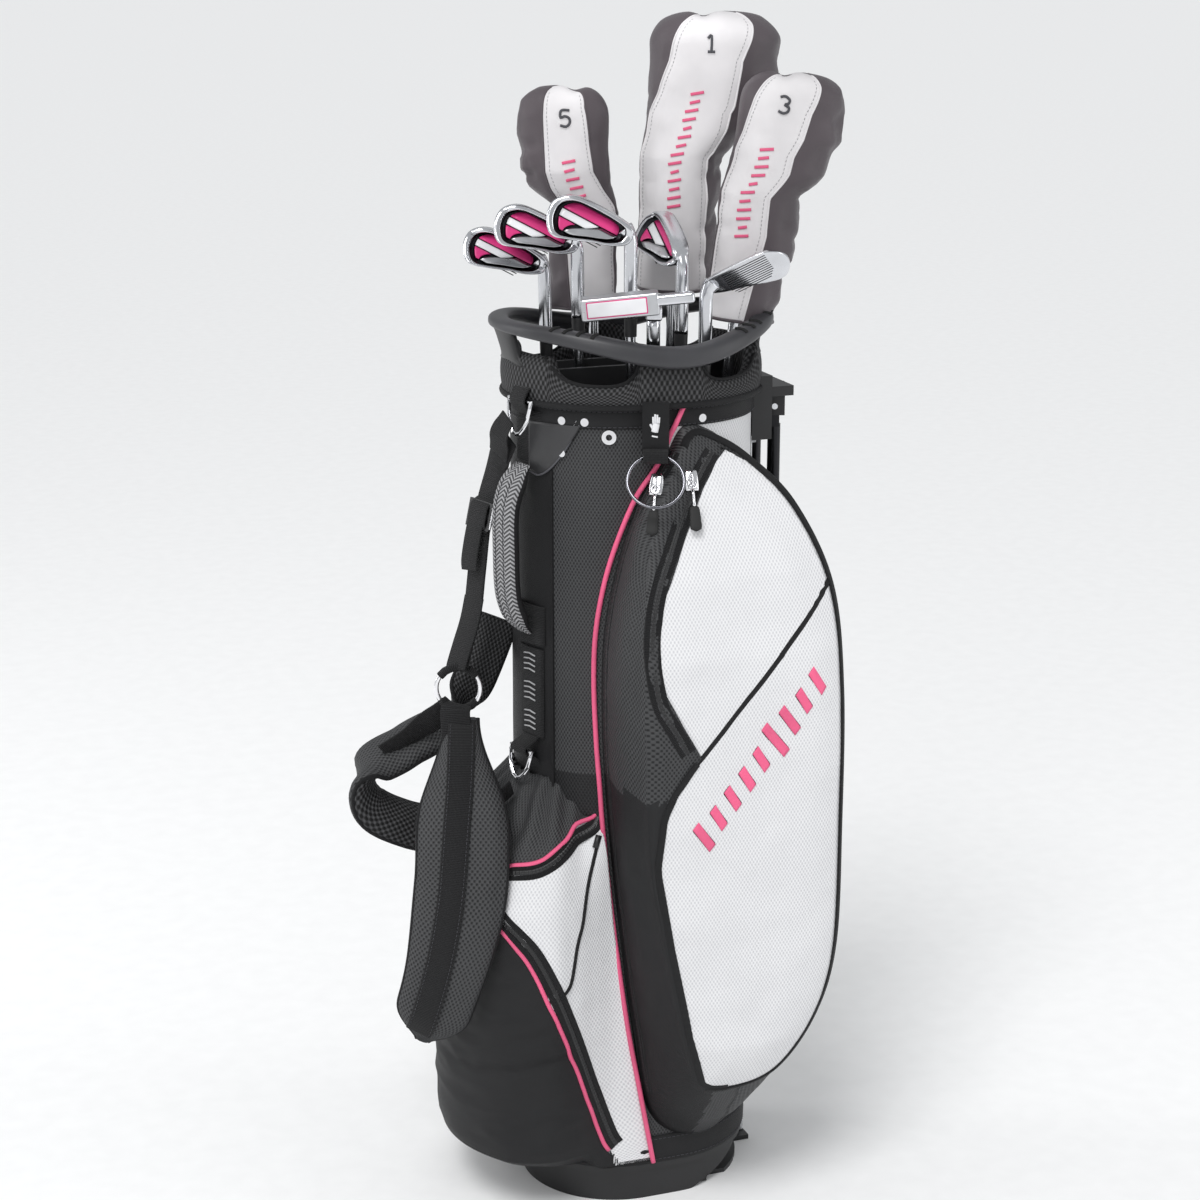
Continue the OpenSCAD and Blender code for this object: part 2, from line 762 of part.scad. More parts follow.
module wood_head(c, w, d, h) {
    color("black") place_club(c) difference() {
        union() {
            translate([0, 0, c[3] - wood_mouth]) cylinder(r = 6.4, h = 60, $fn = 32);
            translate([w * wood_toe, d * wood_back, c[3] - h / 2 - 1])
                scale([w / 2, d / 2, h / 2]) sphere(1, $fn = 32);
        }
        socket(c, wood_mouth);
    }
}

// A sock for a wood: an oval sleeve with a domed end, open at the bottom.
module wood_cover(c, w, d, h, length) {
    wall = 2.5;
    gap = 3;
    color("whitesmoke") place_club(c)
        translate([w * wood_toe, d * wood_back, c[3] - length + 46]) difference() {
            cover_form(w + 2 * gap + 2 * wall, d + 2 * gap + 2 * wall, length, 34);
            translate([0, 0, -0.1]) cover_form(w + 2 * gap, d + 2 * gap, length - wall, 32);
        }
}

module cover_form(w, d, length, dome) {
    hull() {
        linear_extrude(length - dome) scale([w, d]) circle(d = 1, $fn = 40);
        translate([0, 0, length - dome]) scale([w * 0.40, d * 0.40, dome]) sphere(1, $fn = 32);
    }
}

module putter_head() {
    color("silver") difference() {
        place_club(putter) translate([0, 0, putter[3] - 24]) difference() {
            union() {
                translate([0, 0, 24 - putter_mouth]) cylinder(r = 6.6, h = 30, $fn = 32);
                translate([-68, -40, 4]) rotate([0, -6, 0]) {
                    cube([74, 24, 22]);
                    translate([70, 0, 8]) cube([38, 14, 11]);
                }
                translate([-8, -20, 2]) cube([16, 26, 14]);
            }
            translate([-62, -42, 8]) rotate([0, -6, 0]) cube([60, 4, 15]);
        }
        place_club(putter) socket(putter, putter_mouth);
    }
}

// ---------------------------------------------------------------- nodes

base_cup();
base_pad();
foot_plate();
foot_hinge_pin();
bag_tube();
tube_stays();
top_collar();
divider_grid();
throat_handle();
apparel_pocket();
side_pocket();
ball_pocket();
carry_handle();
spine_webbing();
strap_d_rings();
upper_strap();
strap_buckle();
strap_ring();
front_shoulder_pad();
rear_shoulder_pad();
lower_strap();
towel_tab();
towel_ring();
rivets();
side_zip_slider();
side_zip_pull();
pocket_zip_slider();
pocket_zip_pull();
leg_bracket();
leg_pins();
left_leg();
right_leg();
left_leg_foot();
right_leg_foot();
pull_rod();
rod_guides();
club_shaft(driver, wood_mouth);  // driver_shaft
wood_head(driver, 108, 96, 56);  // driver_head
wood_cover(driver, 108, 96, 56, 250);  // driver_cover
club_shaft(fairway, wood_mouth);  // fairway_shaft
wood_head(fairway, 94, 66, 42);  // fairway_head
wood_cover(fairway, 94, 66, 42, 232);  // fairway_cover
club_shaft(hybrid, wood_mouth);  // hybrid_shaft
wood_head(hybrid, 82, 50, 40);  // hybrid_head
wood_cover(hybrid, 82, 50, 40, 206);  // hybrid_cover
club_shaft(six_iron, iron_mouth);  // six_iron_shaft
iron_head(six_iron);  // six_iron_head
club_shaft(seven_iron, iron_mouth);  // seven_iron_shaft
iron_head(seven_iron);  // seven_iron_head
club_shaft(eight_iron, iron_mouth);  // eight_iron_shaft
iron_head(eight_iron);  // eight_iron_head
club_shaft(nine_iron, iron_mouth);  // nine_iron_shaft
iron_head(nine_iron);  // nine_iron_head
club_shaft(wedge, iron_mouth);  // wedge_shaft
iron_head(wedge);  // wedge_head
club_shaft(putter, putter_mouth);  // putter_shaft
putter_head();
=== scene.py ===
import math

import bmesh
import bpy
from mathutils import Matrix, Vector, noise
from mathutils.bvhtree import BVHTree


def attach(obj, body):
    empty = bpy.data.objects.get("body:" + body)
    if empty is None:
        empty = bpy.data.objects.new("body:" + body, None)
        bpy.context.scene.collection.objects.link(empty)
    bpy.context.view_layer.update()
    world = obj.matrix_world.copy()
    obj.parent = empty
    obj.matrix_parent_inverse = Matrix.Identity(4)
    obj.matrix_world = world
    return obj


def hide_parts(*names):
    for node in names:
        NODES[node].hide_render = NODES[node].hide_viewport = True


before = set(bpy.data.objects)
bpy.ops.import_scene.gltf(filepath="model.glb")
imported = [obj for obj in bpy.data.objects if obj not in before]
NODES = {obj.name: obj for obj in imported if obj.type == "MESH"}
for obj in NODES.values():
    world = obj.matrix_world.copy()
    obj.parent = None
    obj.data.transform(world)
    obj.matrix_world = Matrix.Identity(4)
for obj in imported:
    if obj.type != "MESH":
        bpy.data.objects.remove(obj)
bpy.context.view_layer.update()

MM = 0.001          # lengths below are in millimetres, and meshes are in metres
SCENE = bpy.context.scene

# Sizes that the CAD model also has.
BAG_W, BAG_D = 244, 204
COLLAR_W, COLLAR_D = 256, 216
MOUTH_W, MOUTH_D = 228, 188
TUBE_TOP = 850
FACE_Y = -188       # middle of the large pocket's face


# ---------------------------------------------------------------- camera, light, floor

LENS, SENSOR = 75, 36                      # millimetres
CAMERA_PLACE = (-0.8671, -2.2917, 1.30)    # metres
CAMERA_TILT, CAMERA_TURN = 74.5, -20       # degrees


def make_camera():
    """The camera, at the photo's angle."""
    data = bpy.data.cameras.new("camera")
    data.lens = LENS
    data.sensor_width = SENSOR
    camera = bpy.data.objects.new("camera", data)
    camera.location = CAMERA_PLACE
    camera.rotation_euler = (math.radians(CAMERA_TILT), 0, math.radians(CAMERA_TURN))
    SCENE.collection.objects.link(camera)
    SCENE.camera = camera


def area_light(name, place, target, size, power):
    """A rectangular lamp aimed at a point."""
    data = bpy.data.lights.new(name, "AREA")
    data.shape = "RECTANGLE"
    data.size, data.size_y = size
    data.energy = power
    light = bpy.data.objects.new(name, data)
    light.location = place
    light.rotation_euler = (Vector(target) - Vector(place)).to_track_quat("-Z", "Y").to_euler()
    SCENE.collection.objects.link(light)


def make_studio():
    """Soft studio light over a plain pale floor."""
    world = bpy.data.worlds.new("studio")
    world.use_nodes = True
    background = world.node_tree.nodes["Background"]
    background.inputs["Color"].default_value = (0.96, 0.98, 1.0, 1)
    background.inputs["Strength"].default_value = 0.52
    SCENE.world = world
    SCENE.view_settings.view_transform = "Standard"
    middle = (0, 0, 0.6)
    data = bpy.data.lights.new("daylight", "SUN")
    data.energy = 1.55
    data.angle = math.radians(24)
    light = bpy.data.objects.new("daylight", data)
    light.rotation_euler = Vector((0.42, 0.48, -1.0)).to_track_quat("-Z", "Y").to_euler()
    SCENE.collection.objects.link(light)
    area_light("key", (-1.9, -2.4, 2.2), middle, (1.3, 1.6), 20)
    area_light("fill", (2.4, -1.5, 1.4), middle, (0.9, 2.2), 13)
    area_light("rim", (-2.4, 1.2, 1.6), middle, (0.6, 2.0), 16)
    shader = Shader("pale_floor", (0.90, 0.90, 0.90), 0.8, specular_ior_level=0.1)
    grain = shader.noise(35, 3, shader.object_place())
    shader.colour(grain, [(0.3, (0.885, 0.885, 0.885)), (0.7, (0.91, 0.91, 0.91))])
    rows = [[Vector((x * 3000, y * 3000, 0)) for x in range(-16, 17)] for y in range(-8, 25)]
    floor = mesh_object("floor", *grid_data(rows), [shader.material])


# ---------------------------------------------------------------- materials

class Shader:
    """A Principled material, with the nodes that give its pattern."""

    def __init__(self, name, colour, roughness, **sockets):
        self.material = bpy.data.materials.new(name)
        self.material.use_nodes = True
        self.material.diffuse_color = (*colour, 1)
        self.nodes = self.material.node_tree.nodes
        self.links = self.material.node_tree.links
        self.bsdf = self.nodes["Principled BSDF"]
        self.bsdf.inputs["Base Color"].default_value = (*colour, 1)
        self.bsdf.inputs["Roughness"].default_value = roughness
        for key, value in sockets.items():
            self.bsdf.inputs[key.replace("_", " ").title().replace("Ior", "IOR")].default_value = value

    def node(self, kind, **values):
        made = self.nodes.new(kind)
        for key, value in values.items():
            setattr(made, key, value)
        return made

    def math(self, operation, a, b=0.0):
        made = self.node("ShaderNodeMath", operation=operation)
        for socket, value in zip(made.inputs, (a, b)):
            if isinstance(value, (int, float)):
                socket.default_value = value
            else:
                self.links.new(value, socket)
        return made.outputs[0]

    def cloth_place(self):
        """Lengths along and across the cloth, in metres."""
        uv = self.node("ShaderNodeUVMap", uv_map="cloth")
        split = self.node("ShaderNodeSeparateXYZ")
        self.links.new(uv.outputs[0], split.inputs[0])
        return split.outputs[0], split.outputs[1]

    def object_place(self):
        return self.node("ShaderNodeTexCoord").outputs["Object"]

    def noise(self, scale, detail, place, stretch=None):
        if stretch:
            mapping = self.node("ShaderNodeMapping")
            mapping.inputs["Scale"].default_value = stretch
            self.links.new(place, mapping.inputs["Vector"])
            place = mapping.outputs[0]
        made = self.node("ShaderNodeTexNoise")
        made.inputs["Scale"].default_value = scale
        made.inputs["Detail"].default_value = detail
        self.links.new(place, made.inputs["Vector"])
        return made.outputs["Fac"]

    def wave(self, length, pitch):
        """A sine of a length, from -1 to 1."""
        return self.math("SINE", self.math("MULTIPLY", length, 2 * math.pi / (pitch * MM)))

    def ramp(self, fac, stops):
        made = self.node("ShaderNodeValToRGB")
        while len(made.color_ramp.elements) < len(stops):
            made.color_ramp.elements.new(0.5)
        for element, (place, colour) in zip(made.color_ramp.elements, stops):
            element.position = place
            element.color = (*colour, 1)
        self.links.new(fac, made.inputs[0])
        return made.outputs[0]

    def colour(self, fac, stops):
        self.links.new(self.ramp(fac, stops), self.bsdf.inputs["Base Color"])

    def rough(self, fac, low, high):
        made = self.node("ShaderNodeMapRange")
        made.inputs["To Min"].default_value = low
        made.inputs["To Max"].default_value = high
        self.links.new(fac, made.inputs["Value"])
        self.links.new(made.outputs[0], self.bsdf.inputs["Roughness"])

    def bump(self, height, depth, strength=1.0):
        """Adds a relief, depth in millimetres, to what is there."""
        made = self.node("ShaderNodeBump")
        made.inputs["Distance"].default_value = depth * MM
        made.inputs["Strength"].default_value = strength
        self.links.new(height, made.inputs["Height"])
        socket = self.bsdf.inputs["Normal"]
        if socket.is_linked:
            self.links.new(socket.links[0].from_socket, made.inputs["Normal"])
        self.links.new(made.outputs[0], socket)


def shade(colour, share):
    """A colour made darker or lighter."""
    return tuple(c * share for c in colour)


def diamond_cloth(name, high, low, pitch, roughness, relief=0.5, sheen=0.0):
    """Coated polyester with a small diamond emboss, each row set between the one above. Its colour follows the
    emboss: painted shade in the hollows, a faint painted highlight on the tops.
    """
    s = Shader(name, high, roughness, sheen_weight=sheen, specular_ior_level=0.3)
    u, v = s.cloth_place()
    p = s.wave(s.math("ADD", u, s.math("MULTIPLY", v, 0.62)), pitch)
    q = s.wave(s.math("SUBTRACT", u, s.math("MULTIPLY", v, 0.62)), pitch)
    height = s.math("ADD", s.math("MULTIPLY", s.math("ADD", p, q), 0.25), 0.5)
    patches = s.noise(9, 3, s.object_place())
    # painted shade in the emboss's hollows and a faint painted highlight on its tops, with a soft blotchy noise mixed
    # in
    s.colour(s.math("ADD", s.math("MULTIPLY", height, 0.8), s.math("MULTIPLY", patches, 0.2)),
             [(0.24, low), (0.55, high), (0.9, shade(high, 1.06))])
    s.bump(s.noise(14, 2, s.object_place()), 3.0, 0.35)
    s.bump(height, relief)
    return s.material


def smooth_cloth(name, colour, roughness=0.55, relief=0.15, sheen=0.0):
    """Fine plain weave, with soft creases."""
    s = Shader(name, colour, roughness, sheen_weight=sheen, specular_ior_level=0.3)
    u, v = s.cloth_place()
    weave = s.math("MULTIPLY", s.wave(u, 1.1), s.wave(v, 1.1))
    patches = s.noise(7, 4, s.object_place())
    s.colour(patches, [(0.25, shade(colour, 0.75)), (0.75, shade(colour, 1.3))])
    s.rough(patches, roughness - 0.08, roughness + 0.1)
    s.bump(patches, 4.0, 0.3)
    s.bump(weave, relief)
    return s.material


def webbing_cloth(name, colour, pitch=1.7, relief=0.45):
    """Woven strap: ribs across it, and fine yarns along it."""
    s = Shader(name, colour, 0.7, sheen_weight=0.05, specular_ior_level=0.25)
    u, v = s.cloth_place()
    height = s.math("ADD", s.wave(v, pitch), s.math("MULTIPLY", s.wave(u, 1.3), 0.5))
    # colour follows the ribs' height: painted shade between the ribs and painted highlight on their tops
    s.colour(s.math("ADD", s.math("MULTIPLY", height, 0.3), 0.5),
             [(0.1, shade(colour, 0.4)), (0.55, colour), (0.95, shade(colour, 1.8))])
    s.bump(height, relief)
    return s.material


def air_mesh(name, colour, pitch=5.4, relief=1.0):
    """Spacer mesh: rows of offset holes between strands, coloured by their height: painted shade in the holes,
    painted highlight on the strands.
    """
    s = Shader(name, colour, 0.7, specular_ior_level=0.3)
    u, v = s.cloth_place()
    p = s.wave(s.math("ADD", u, s.math("MULTIPLY", v, 0.8)), pitch)
    q = s.wave(s.math("SUBTRACT", u, s.math("MULTIPLY", v, 0.8)), pitch)
    height = s.math("ADD", s.math("MULTIPLY", s.math("ADD", p, q), 0.25), 0.5)
    # painted shade in the holes and painted highlight on the strands
    s.colour(height, [(0.3, shade(colour, 0.1)), (0.5, shade(colour, 0.7)), (0.95, shade(colour, 1.7))])
    s.bump(height, relief)
    return s.material


def herringbone_knit(name, light, dark, column=7.5, pitch=4.2):
    """Knit with a zigzag of light and dark ribs."""
    s = Shader(name, light, 0.6)
    u, v = s.cloth_place()
    zigzag = s.math("PINGPONG", u, column * MM)
    height = s.wave(s.math("ADD", v, s.math("MULTIPLY", zigzag, 0.8)), pitch)
    s.colour(s.math("ADD", s.math("MULTIPLY", height, 0.5), 0.5), [(0.15, dark), (0.75, light)])
    s.bump(height, 0.5)
    return s.material


def leather_cloth(name, colour):
    """Leather-look coating: fine cells, with wear."""
    s = Shader(name, colour, 0.5, coat_weight=0.1)
    cells = s.node("ShaderNodeTexVoronoi", feature="DISTANCE_TO_EDGE")
    cells.inputs["Scale"].default_value = 420
    s.links.new(s.object_place(), cells.inputs["Vector"])
    wear = s.noise(22, 4, s.object_place())
    s.colour(wear, [(0.3, shade(colour, 0.7)), (0.75, shade(colour, 1.35))])
    s.rough(wear, 0.42, 0.62)
    s.bump(cells.outputs["Distance"], 0.25, 0.7)
    return s.material


def plastic(name, colour, roughness=0.42, grain=900, relief=0.08):
    """Moulded plastic or rubber with a fine spark-eroded grain."""
    s = Shader(name, colour, roughness)
    place = s.object_place()
    patches = s.noise(16, 3, place)
    s.colour(patches, [(0.3, shade(colour, 0.82)), (0.7, shade(colour, 1.22))])
    s.rough(patches, roughness - 0.06, roughness + 0.1)
    s.bump(s.noise(grain, 2, place), relief, 0.6)
    return s.material


def metal(name, colour, roughness, brushed=0.0):
    """Plated or polished metal, with faint handling marks; brushed stretches them."""
    s = Shader(name, colour, roughness, metallic=1.0)
    place = s.object_place()
    marks = s.noise(60, 4, place, (1, 1, 0.04) if brushed else None)
    s.colour(marks, [(0.3, shade(colour, 0.9)), (0.7, colour)])
    s.rough(marks, roughness * 0.7, roughness * 1.5)
    s.bump(marks, 0.05 + brushed, 0.3)
    return s.material


def make_materials():
    """Every material, by the short name that the pieces use."""
    white, black = (0.76, 0.76, 0.77), (0.011, 0.011, 0.012)
    made = {
        # each ripstop's second colour is its painted shade in the emboss hollows
        "white": diamond_cloth("white_ripstop", white, (0.58, 0.58, 0.60), 3.6, 0.5, 0.3),
        "charcoal": diamond_cloth("charcoal_ripstop", (0.050, 0.051, 0.053), (0.010, 0.010, 0.011),
                                  3.6, 0.5, 0.6),
        "dark": diamond_cloth("dark_ripstop", (0.018, 0.018, 0.019), (0.005, 0.005, 0.006), 3.6, 0.5, 0.6),
        "black": smooth_cloth("black_cloth", black),
        "binding": smooth_cloth("binding_tape", (0.012, 0.012, 0.013), 0.6, 0.3),
        "braid": webbing_cloth("zip_tape", (0.010, 0.010, 0.011), 1.5, 0.35),
        "webbing": webbing_cloth("black_webbing", (0.014, 0.014, 0.015)),
        "mesh": air_mesh("collar_mesh", (0.045, 0.045, 0.047)),
        "knit": herringbone_knit("handle_knit", (0.36, 0.36, 0.37), (0.035, 0.035, 0.037)),
        "leather": leather_cloth("leather_patch", (0.030, 0.030, 0.032)),
        "pad": diamond_cloth("pad_cloth", (0.055, 0.056, 0.058), (0.012, 0.012, 0.013), 3.8, 0.6, 0.7),
        "pink": smooth_cloth("pink_piping", (0.80, 0.12, 0.25), 0.42, 0.1, 0.0),
        "thread": smooth_cloth("light_thread", (0.42, 0.42, 0.43), 0.6),
        "grey_thread": smooth_cloth("grey_thread", (0.09, 0.09, 0.10), 0.6),
        "cover_grey": smooth_cloth("cover_grey", (0.088, 0.074, 0.082), 0.38, 0.05, 0.0),
        "cover_white": smooth_cloth("cover_white", (0.74, 0.72, 0.73), 0.40, 0.05, 0.0),
        "lining": smooth_cloth("bag_lining", (0.014, 0.014, 0.015), 0.8),
        "plastic": plastic("moulded_black", (0.012, 0.012, 0.013)),
        "rim": plastic("soft_rim", (0.036, 0.036, 0.040), 0.42),
        "rubber": plastic("grip_rubber", (0.012, 0.012, 0.012), 0.7, 500, 0.3),
        "foam": plastic("base_foam", (0.03, 0.03, 0.032), 0.9, 350, 0.5),
        "chrome": metal("chrome_plate", (0.90, 0.90, 0.92), 0.10),
        "steel": metal("polished_steel", (0.72, 0.73, 0.76), 0.16),
        "brushed": metal("brushed_steel", (0.62, 0.63, 0.65), 0.34, 0.05),
        "satin": metal("satin_iron", (0.60, 0.61, 0.63), 0.28),
        # painted shade: the near-black inside the irons' cavities and in their face grooves
        "cavity": metal("painted_recess_shade", (0.03, 0.03, 0.034), 0.3),
        "dark_chrome": metal("dark_chrome", (0.20, 0.20, 0.22), 0.12),
        "leg": metal("leg_black", (0.035, 0.035, 0.038), 0.3, 0.05),
        "crown": plastic("gloss_crown", (0.016, 0.016, 0.018), 0.16, 900, 0.02),
        "badge_pink": plastic("badge_pink", (0.62, 0.035, 0.19), 0.3, 900, 0.02),
        "badge_white": plastic("badge_white", (0.74, 0.74, 0.76), 0.3, 900, 0.02),
        "window": plastic("shadow_black", (0.004, 0.004, 0.004), 0.8),
    }
    return made


# ---------------------------------------------------------------- meshes

def mesh_object(name, verts, faces, corners, picks, materials, smooth=True):
    """A mesh in the scene, from points in millimetres."""
    mesh = bpy.data.meshes.new(name)
    mesh.from_pydata([v * MM for v in verts], [], faces)
    for m in materials:
        mesh.materials.append(m)
    if corners:
        layer = mesh.uv_layers.new(name="cloth")
        layer.data.foreach_set("uv", [c * MM for uv in corners for c in uv])
    if picks:
        mesh.polygons.foreach_set("material_index", picks)
    mesh.polygons.foreach_set("use_smooth", [smooth] * len(mesh.polygons))
    made = bpy.data.objects.new(name, mesh)
    SCENE.collection.objects.link(made)
    return made


def grid_data(rows, closed=False, loop=False, pick=None, keep=None, uv=None, caps=False):
    """Faces, cloth lengths and material picks for a surface through rows of points."""
    n, m = len(rows), len(rows[0])
    cols = m if closed else m - 1
    spans = n if loop else n - 1
    sample = rows[:: max(1, n // 8)]
    u = [0.0]
    for j in range(cols):
        u.append(u[-1] + sum((r[(j + 1) % m] - r[j]).length for r in sample) / len(sample))
    across = range(0, m, max(1, m // 8))
    v = [0.0]
    for i in range(spans):
        after = rows[(i + 1) % n]
        v.append(v[-1] + sum((after[j] - rows[i][j]).length for j in across) / len(across))
    verts = [p for r in rows for p in r]
    faces, corners, picks = [], [], []
    for i in range(spans):
        below, above = i * m, ((i + 1) % n) * m
        for j in range(cols):
            k = (j + 1) % m
            face = (below + j, below + k, above + k, above + j)
            middle = (verts[face[0]] + verts[face[2]]) / 2
            if keep and not keep(middle, i, j):
                continue
            faces.append(face)
            if uv:
                corners += [uv(verts[f]) for f in face]
            else:
                corners += [(u[j], v[i]), (u[j + 1], v[i]), (u[j + 1], v[i + 1]), (u[j], v[i + 1])]
            picks.append(pick(middle, i, j) if pick else 0)
    if caps and not loop:
        for ring in (list(range(m - 1, -1, -1)), [(n - 1) * m + j for j in range(m)]):
            faces.append(tuple(ring))
            corners += [(0, 0)] * m
            picks.append(picks[0] if picks else 0)
    return verts, faces, corners, picks


def surface(name, rows, body, slot, materials, thick=0, smooth=True, **how):
    """A piece that rides on a body: a surface through rows of points."""
    made = mesh_object(name, *grid_data(rows, **how), materials, smooth)
    clear_loose(made)
    if thick:
        shell = made.modifiers.new("thickness", "SOLIDIFY")
        shell.thickness = abs(thick) * MM
        shell.offset = -1 if thick > 0 else 1
    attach(made, body)
    return made


def clear_loose(made):
    """Removes points that no face uses."""
    work = bmesh.new()
    work.from_mesh(made.data)
    bmesh.ops.delete(work, geom=[v for v in work.verts if not v.link_faces], context="VERTS")
    work.to_mesh(made.data)
    work.free()


def fill_rings(made, m, ends):
    """Closes rows of m points of a surface with one face each, given as (row, material index)."""
    work = bmesh.new()
    work.from_mesh(made.data)
    work.verts.ensure_lookup_table()
    for row, index in ends:
        face = work.faces.new([work.verts[row * m + j] for j in range(m)])
        face.smooth = True
        face.material_index = index
    bmesh.ops.recalc_face_normals(work, faces=work.faces)
    work.to_mesh(made.data)
    work.free()


def curve(points, n=6, closed=False):
    """A smooth curve through points, n steps a span."""
    p = [Vector(q) for q in points]
    count = len(p)
    out = []
    for i in range(count if closed else count - 1):
        if closed:
            a, b, c, d = (p[(i + k) % count] for k in (-1, 0, 1, 2))
        else:
            a, b, c, d = (p[min(max(i + k, 0), count - 1)] for k in (-1, 0, 1, 2))
        for s in range(n):
            t = s / n
            out.append(0.5 * (2 * b + (c - a) * t + (2 * a - 5 * b + 4 * c - d) * t * t
                              + (3 * b - a - 3 * c + d) * t ** 3))
    return out if closed else out + [p[-1].copy()]


def even(path, step, closed=False):
    """Points about step apart along a path."""
    pts = path + [path[0]] if closed else path
    marks = [0.0]
    for a, b in zip(pts, pts[1:]):
        marks.append(marks[-1] + (b - a).length)
    count = max(2, round(marks[-1] / step))
    out, k = [], 0
    for i in range(count if closed else count + 1):
        s = marks[-1] * i / count
        while k < len(marks) - 2 and marks[k + 1] < s:
            k += 1
        span = max(marks[k + 1] - marks[k], 1e-9)
        out.append(pts[k].lerp(pts[k + 1], min(1, (s - marks[k]) / span)))
    return out


def soften(ups, times):
    """Directions along a path, evened out with their neighbours."""
    for _ in range(times):
        ups = [(ups[max(i - 1, 0)] + u + ups[min(i + 1, len(ups) - 1)]).normalized()
               for i, u in enumerate(ups)]
    return ups


def relax(path, times):
    """Points along a path, evened out between its fixed ends."""
    for _ in range(times):
        path = [path[0]] + [(a + b * 2 + c) / 4 for a, b, c in zip(path, path[1:], path[2:])] + [path[-1]]
    return path


def squarish(t, wide, tall, across=0.7, up=0.7):
    """A point at angle t of a rounded section; lower powers are squarer."""
    return (math.copysign(abs(math.cos(t)) ** across, math.cos(t)) * wide,
            math.copysign(abs(math.sin(t)) ** up, math.sin(t)) * tall)


def tangents(path, closed=False):
    """Directions along a path."""
    n = len(path)
    out = []
    for i in range(n):
        a, b = (path[i - 1], path[(i + 1) % n]) if closed else (path[max(i - 1, 0)], path[min(i + 1, n - 1)])
        out.append((b - a).normalized())
    return out


def sweep_rows(path, ups, section, size=None, closed=False):
    """Rows of a section swept along a path. Section points are (across, outward)."""
    rows = []
    last = len(path) - 1
    for i, (p, t, up) in enumerate(zip(path, tangents(path, closed), ups)):
        side = t.cross(up).normalized()
        out = side.cross(t).normalized()
        w, h = size(i / last) if size else (1, 1)
        pts = section(i) if callable(section) else section
        rows.append([p + side * (a * w) + out * (b * h) for a, b in pts])
    return rows


def sweep(name, path, ups, section, body, slot, materials, size=None, closed=False, **how):
    """A piece made by a section swept along a path."""
    rows = sweep_rows(path, ups, section, size, closed)
    return surface(name, rows, body, slot, materials, closed=True, loop=closed, caps=not closed, **how)


def round_section(r, n=10):
    """A round section, for piping and rods."""
    return [(r * math.cos(2 * math.pi * k / n), r * math.sin(2 * math.pi * k / n)) for k in range(n)]


def flat_section(w, t, n=3):
    """A flat band w wide and t thick, lying on its path, with rounded edges."""
    half = w / 2
    r = t / 2
    pts = []
    for s in (1, -1):
        for k in range(n + 1):
            a = math.pi * (k / n - 0.5)
            pts.append((s * (half - r) + s * r * math.cos(a), r + s * r * math.sin(a)))
    return pts


def any_ups(path, hint=(0, 0, 1)):
    """Directions square to a path, carried along it without twist."""
    ts = tangents(path)
    up = Vector(hint)
    if abs(up.dot(ts[0])) > 0.95:
        up = Vector((1, 0, 0))
    out = []
    for t in ts:
        up = (up - t * up.dot(t)).normalized()
        out.append(up.copy())
    return out


def tube(name, path, r, body, slot, material, n=12, size=None):
    """A round bar or tube along a path."""
    return sweep(name, path, any_ups(path), round_section(r, n), body, slot, [material],
                 size=(lambda s: (size(s),) * 2) if size else None)


def tree_of(*objects):
    """A search tree, in millimetres, of meshes already made."""
    verts, faces = [], []
    for o in objects:
        start = len(verts)
        verts += [v.co / MM for v in o.data.vertices]
        faces += [[start + k for k in p.vertices] for p in o.data.polygons]
    return BVHTree.FromPolygons(verts, faces)


def lay(path, tree, lift=0.0, middle=(0, 0), times=3):
    """The path laid on a surface, and the outward direction at each point."""
    places, ups = [], []
    for p in path:
        q, normal, _, _ = tree.find_nearest(p)
        away = Vector((q.x - middle[0], q.y - middle[1], 0))
        if normal.dot(away) < 0:
            normal = -normal
        places.append(q)
        ups.append(normal)
    places, ups = relax(places, times), soften(ups, times)
    return [p + u * lift for p, u in zip(places, ups)], ups


def stitches(name, path, ups, body, material, length=3.0, gap=2.0, r=0.35, lift=0.2):
    """A row of thread stitches along a laid path."""
    pts = even(path, 1.0)
    share = (len(ups) - 1) / max(1, len(pts) - 1)
    verts, faces = [], []
    step = round(length + gap)
    run = round(length)
    for i in range(0, len(pts) - run, step):
        a, b, up = pts[i], pts[i + run], ups[min(len(ups) - 1, round(i * share))]
        along = (b - a).normalized()
        side = along.cross(up).normalized() * r
        top = up * (r + lift)
        base = len(verts)
        verts += [a - along * r, a + side, a + top, a - side, a - top,
                  b + along * r, b + side, b + top, b - side, b - top]
        ring_a, ring_b = [base + k for k in (1, 2, 3, 4)], [base + 5 + k for k in (1, 2, 3, 4)]
        for k in range(4):
            j = (k + 1) % 4
            faces.append((ring_a[k], ring_a[j], ring_b[j], ring_b[k]))
            faces.append((base, ring_a[j], ring_a[k]))
            faces.append((base + 5, ring_b[k], ring_b[j]))
    made = mesh_object(name, verts, faces, None, None, [material])
    made.data.uv_layers.new(name="cloth")
    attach(made, body)
    return made


def zip_band(name, path, ups, width, body, slot):
    """A closed zip: two folded tapes with raised edges, and the teeth between them."""
    def section(i):
        tooth = 1.9 + 0.35 * math.sin(i * math.pi * 0.5)
        half = width / 2
        top = [(-half, 0.5), (-half + 1.2, 1.9), (-half + 3, 1.5), (-2.9, 1.3), (-2.3, 0.7), (-1.9, tooth - 0.5),
               (-0.8, tooth), (0, tooth - 0.7), (0.8, tooth), (1.9, tooth - 0.5), (2.3, 0.7), (2.9, 1.3),
               (half - 3, 1.5), (half - 1.2, 1.9), (half, 0.5)]
        return top + [(half, -0.6), (-half, -0.6)]
    pts = even(path, 0.9)
    share = (len(ups) - 1) / max(1, len(pts) - 1)
    full = [ups[round(i * share)] for i in range(len(pts))]
    return sweep(name, pts, full, section, body, slot, [BY["braid"], BY["plastic"]],
                 pick=lambda c, i, j: 1 if 4 <= j <= 9 else 0)


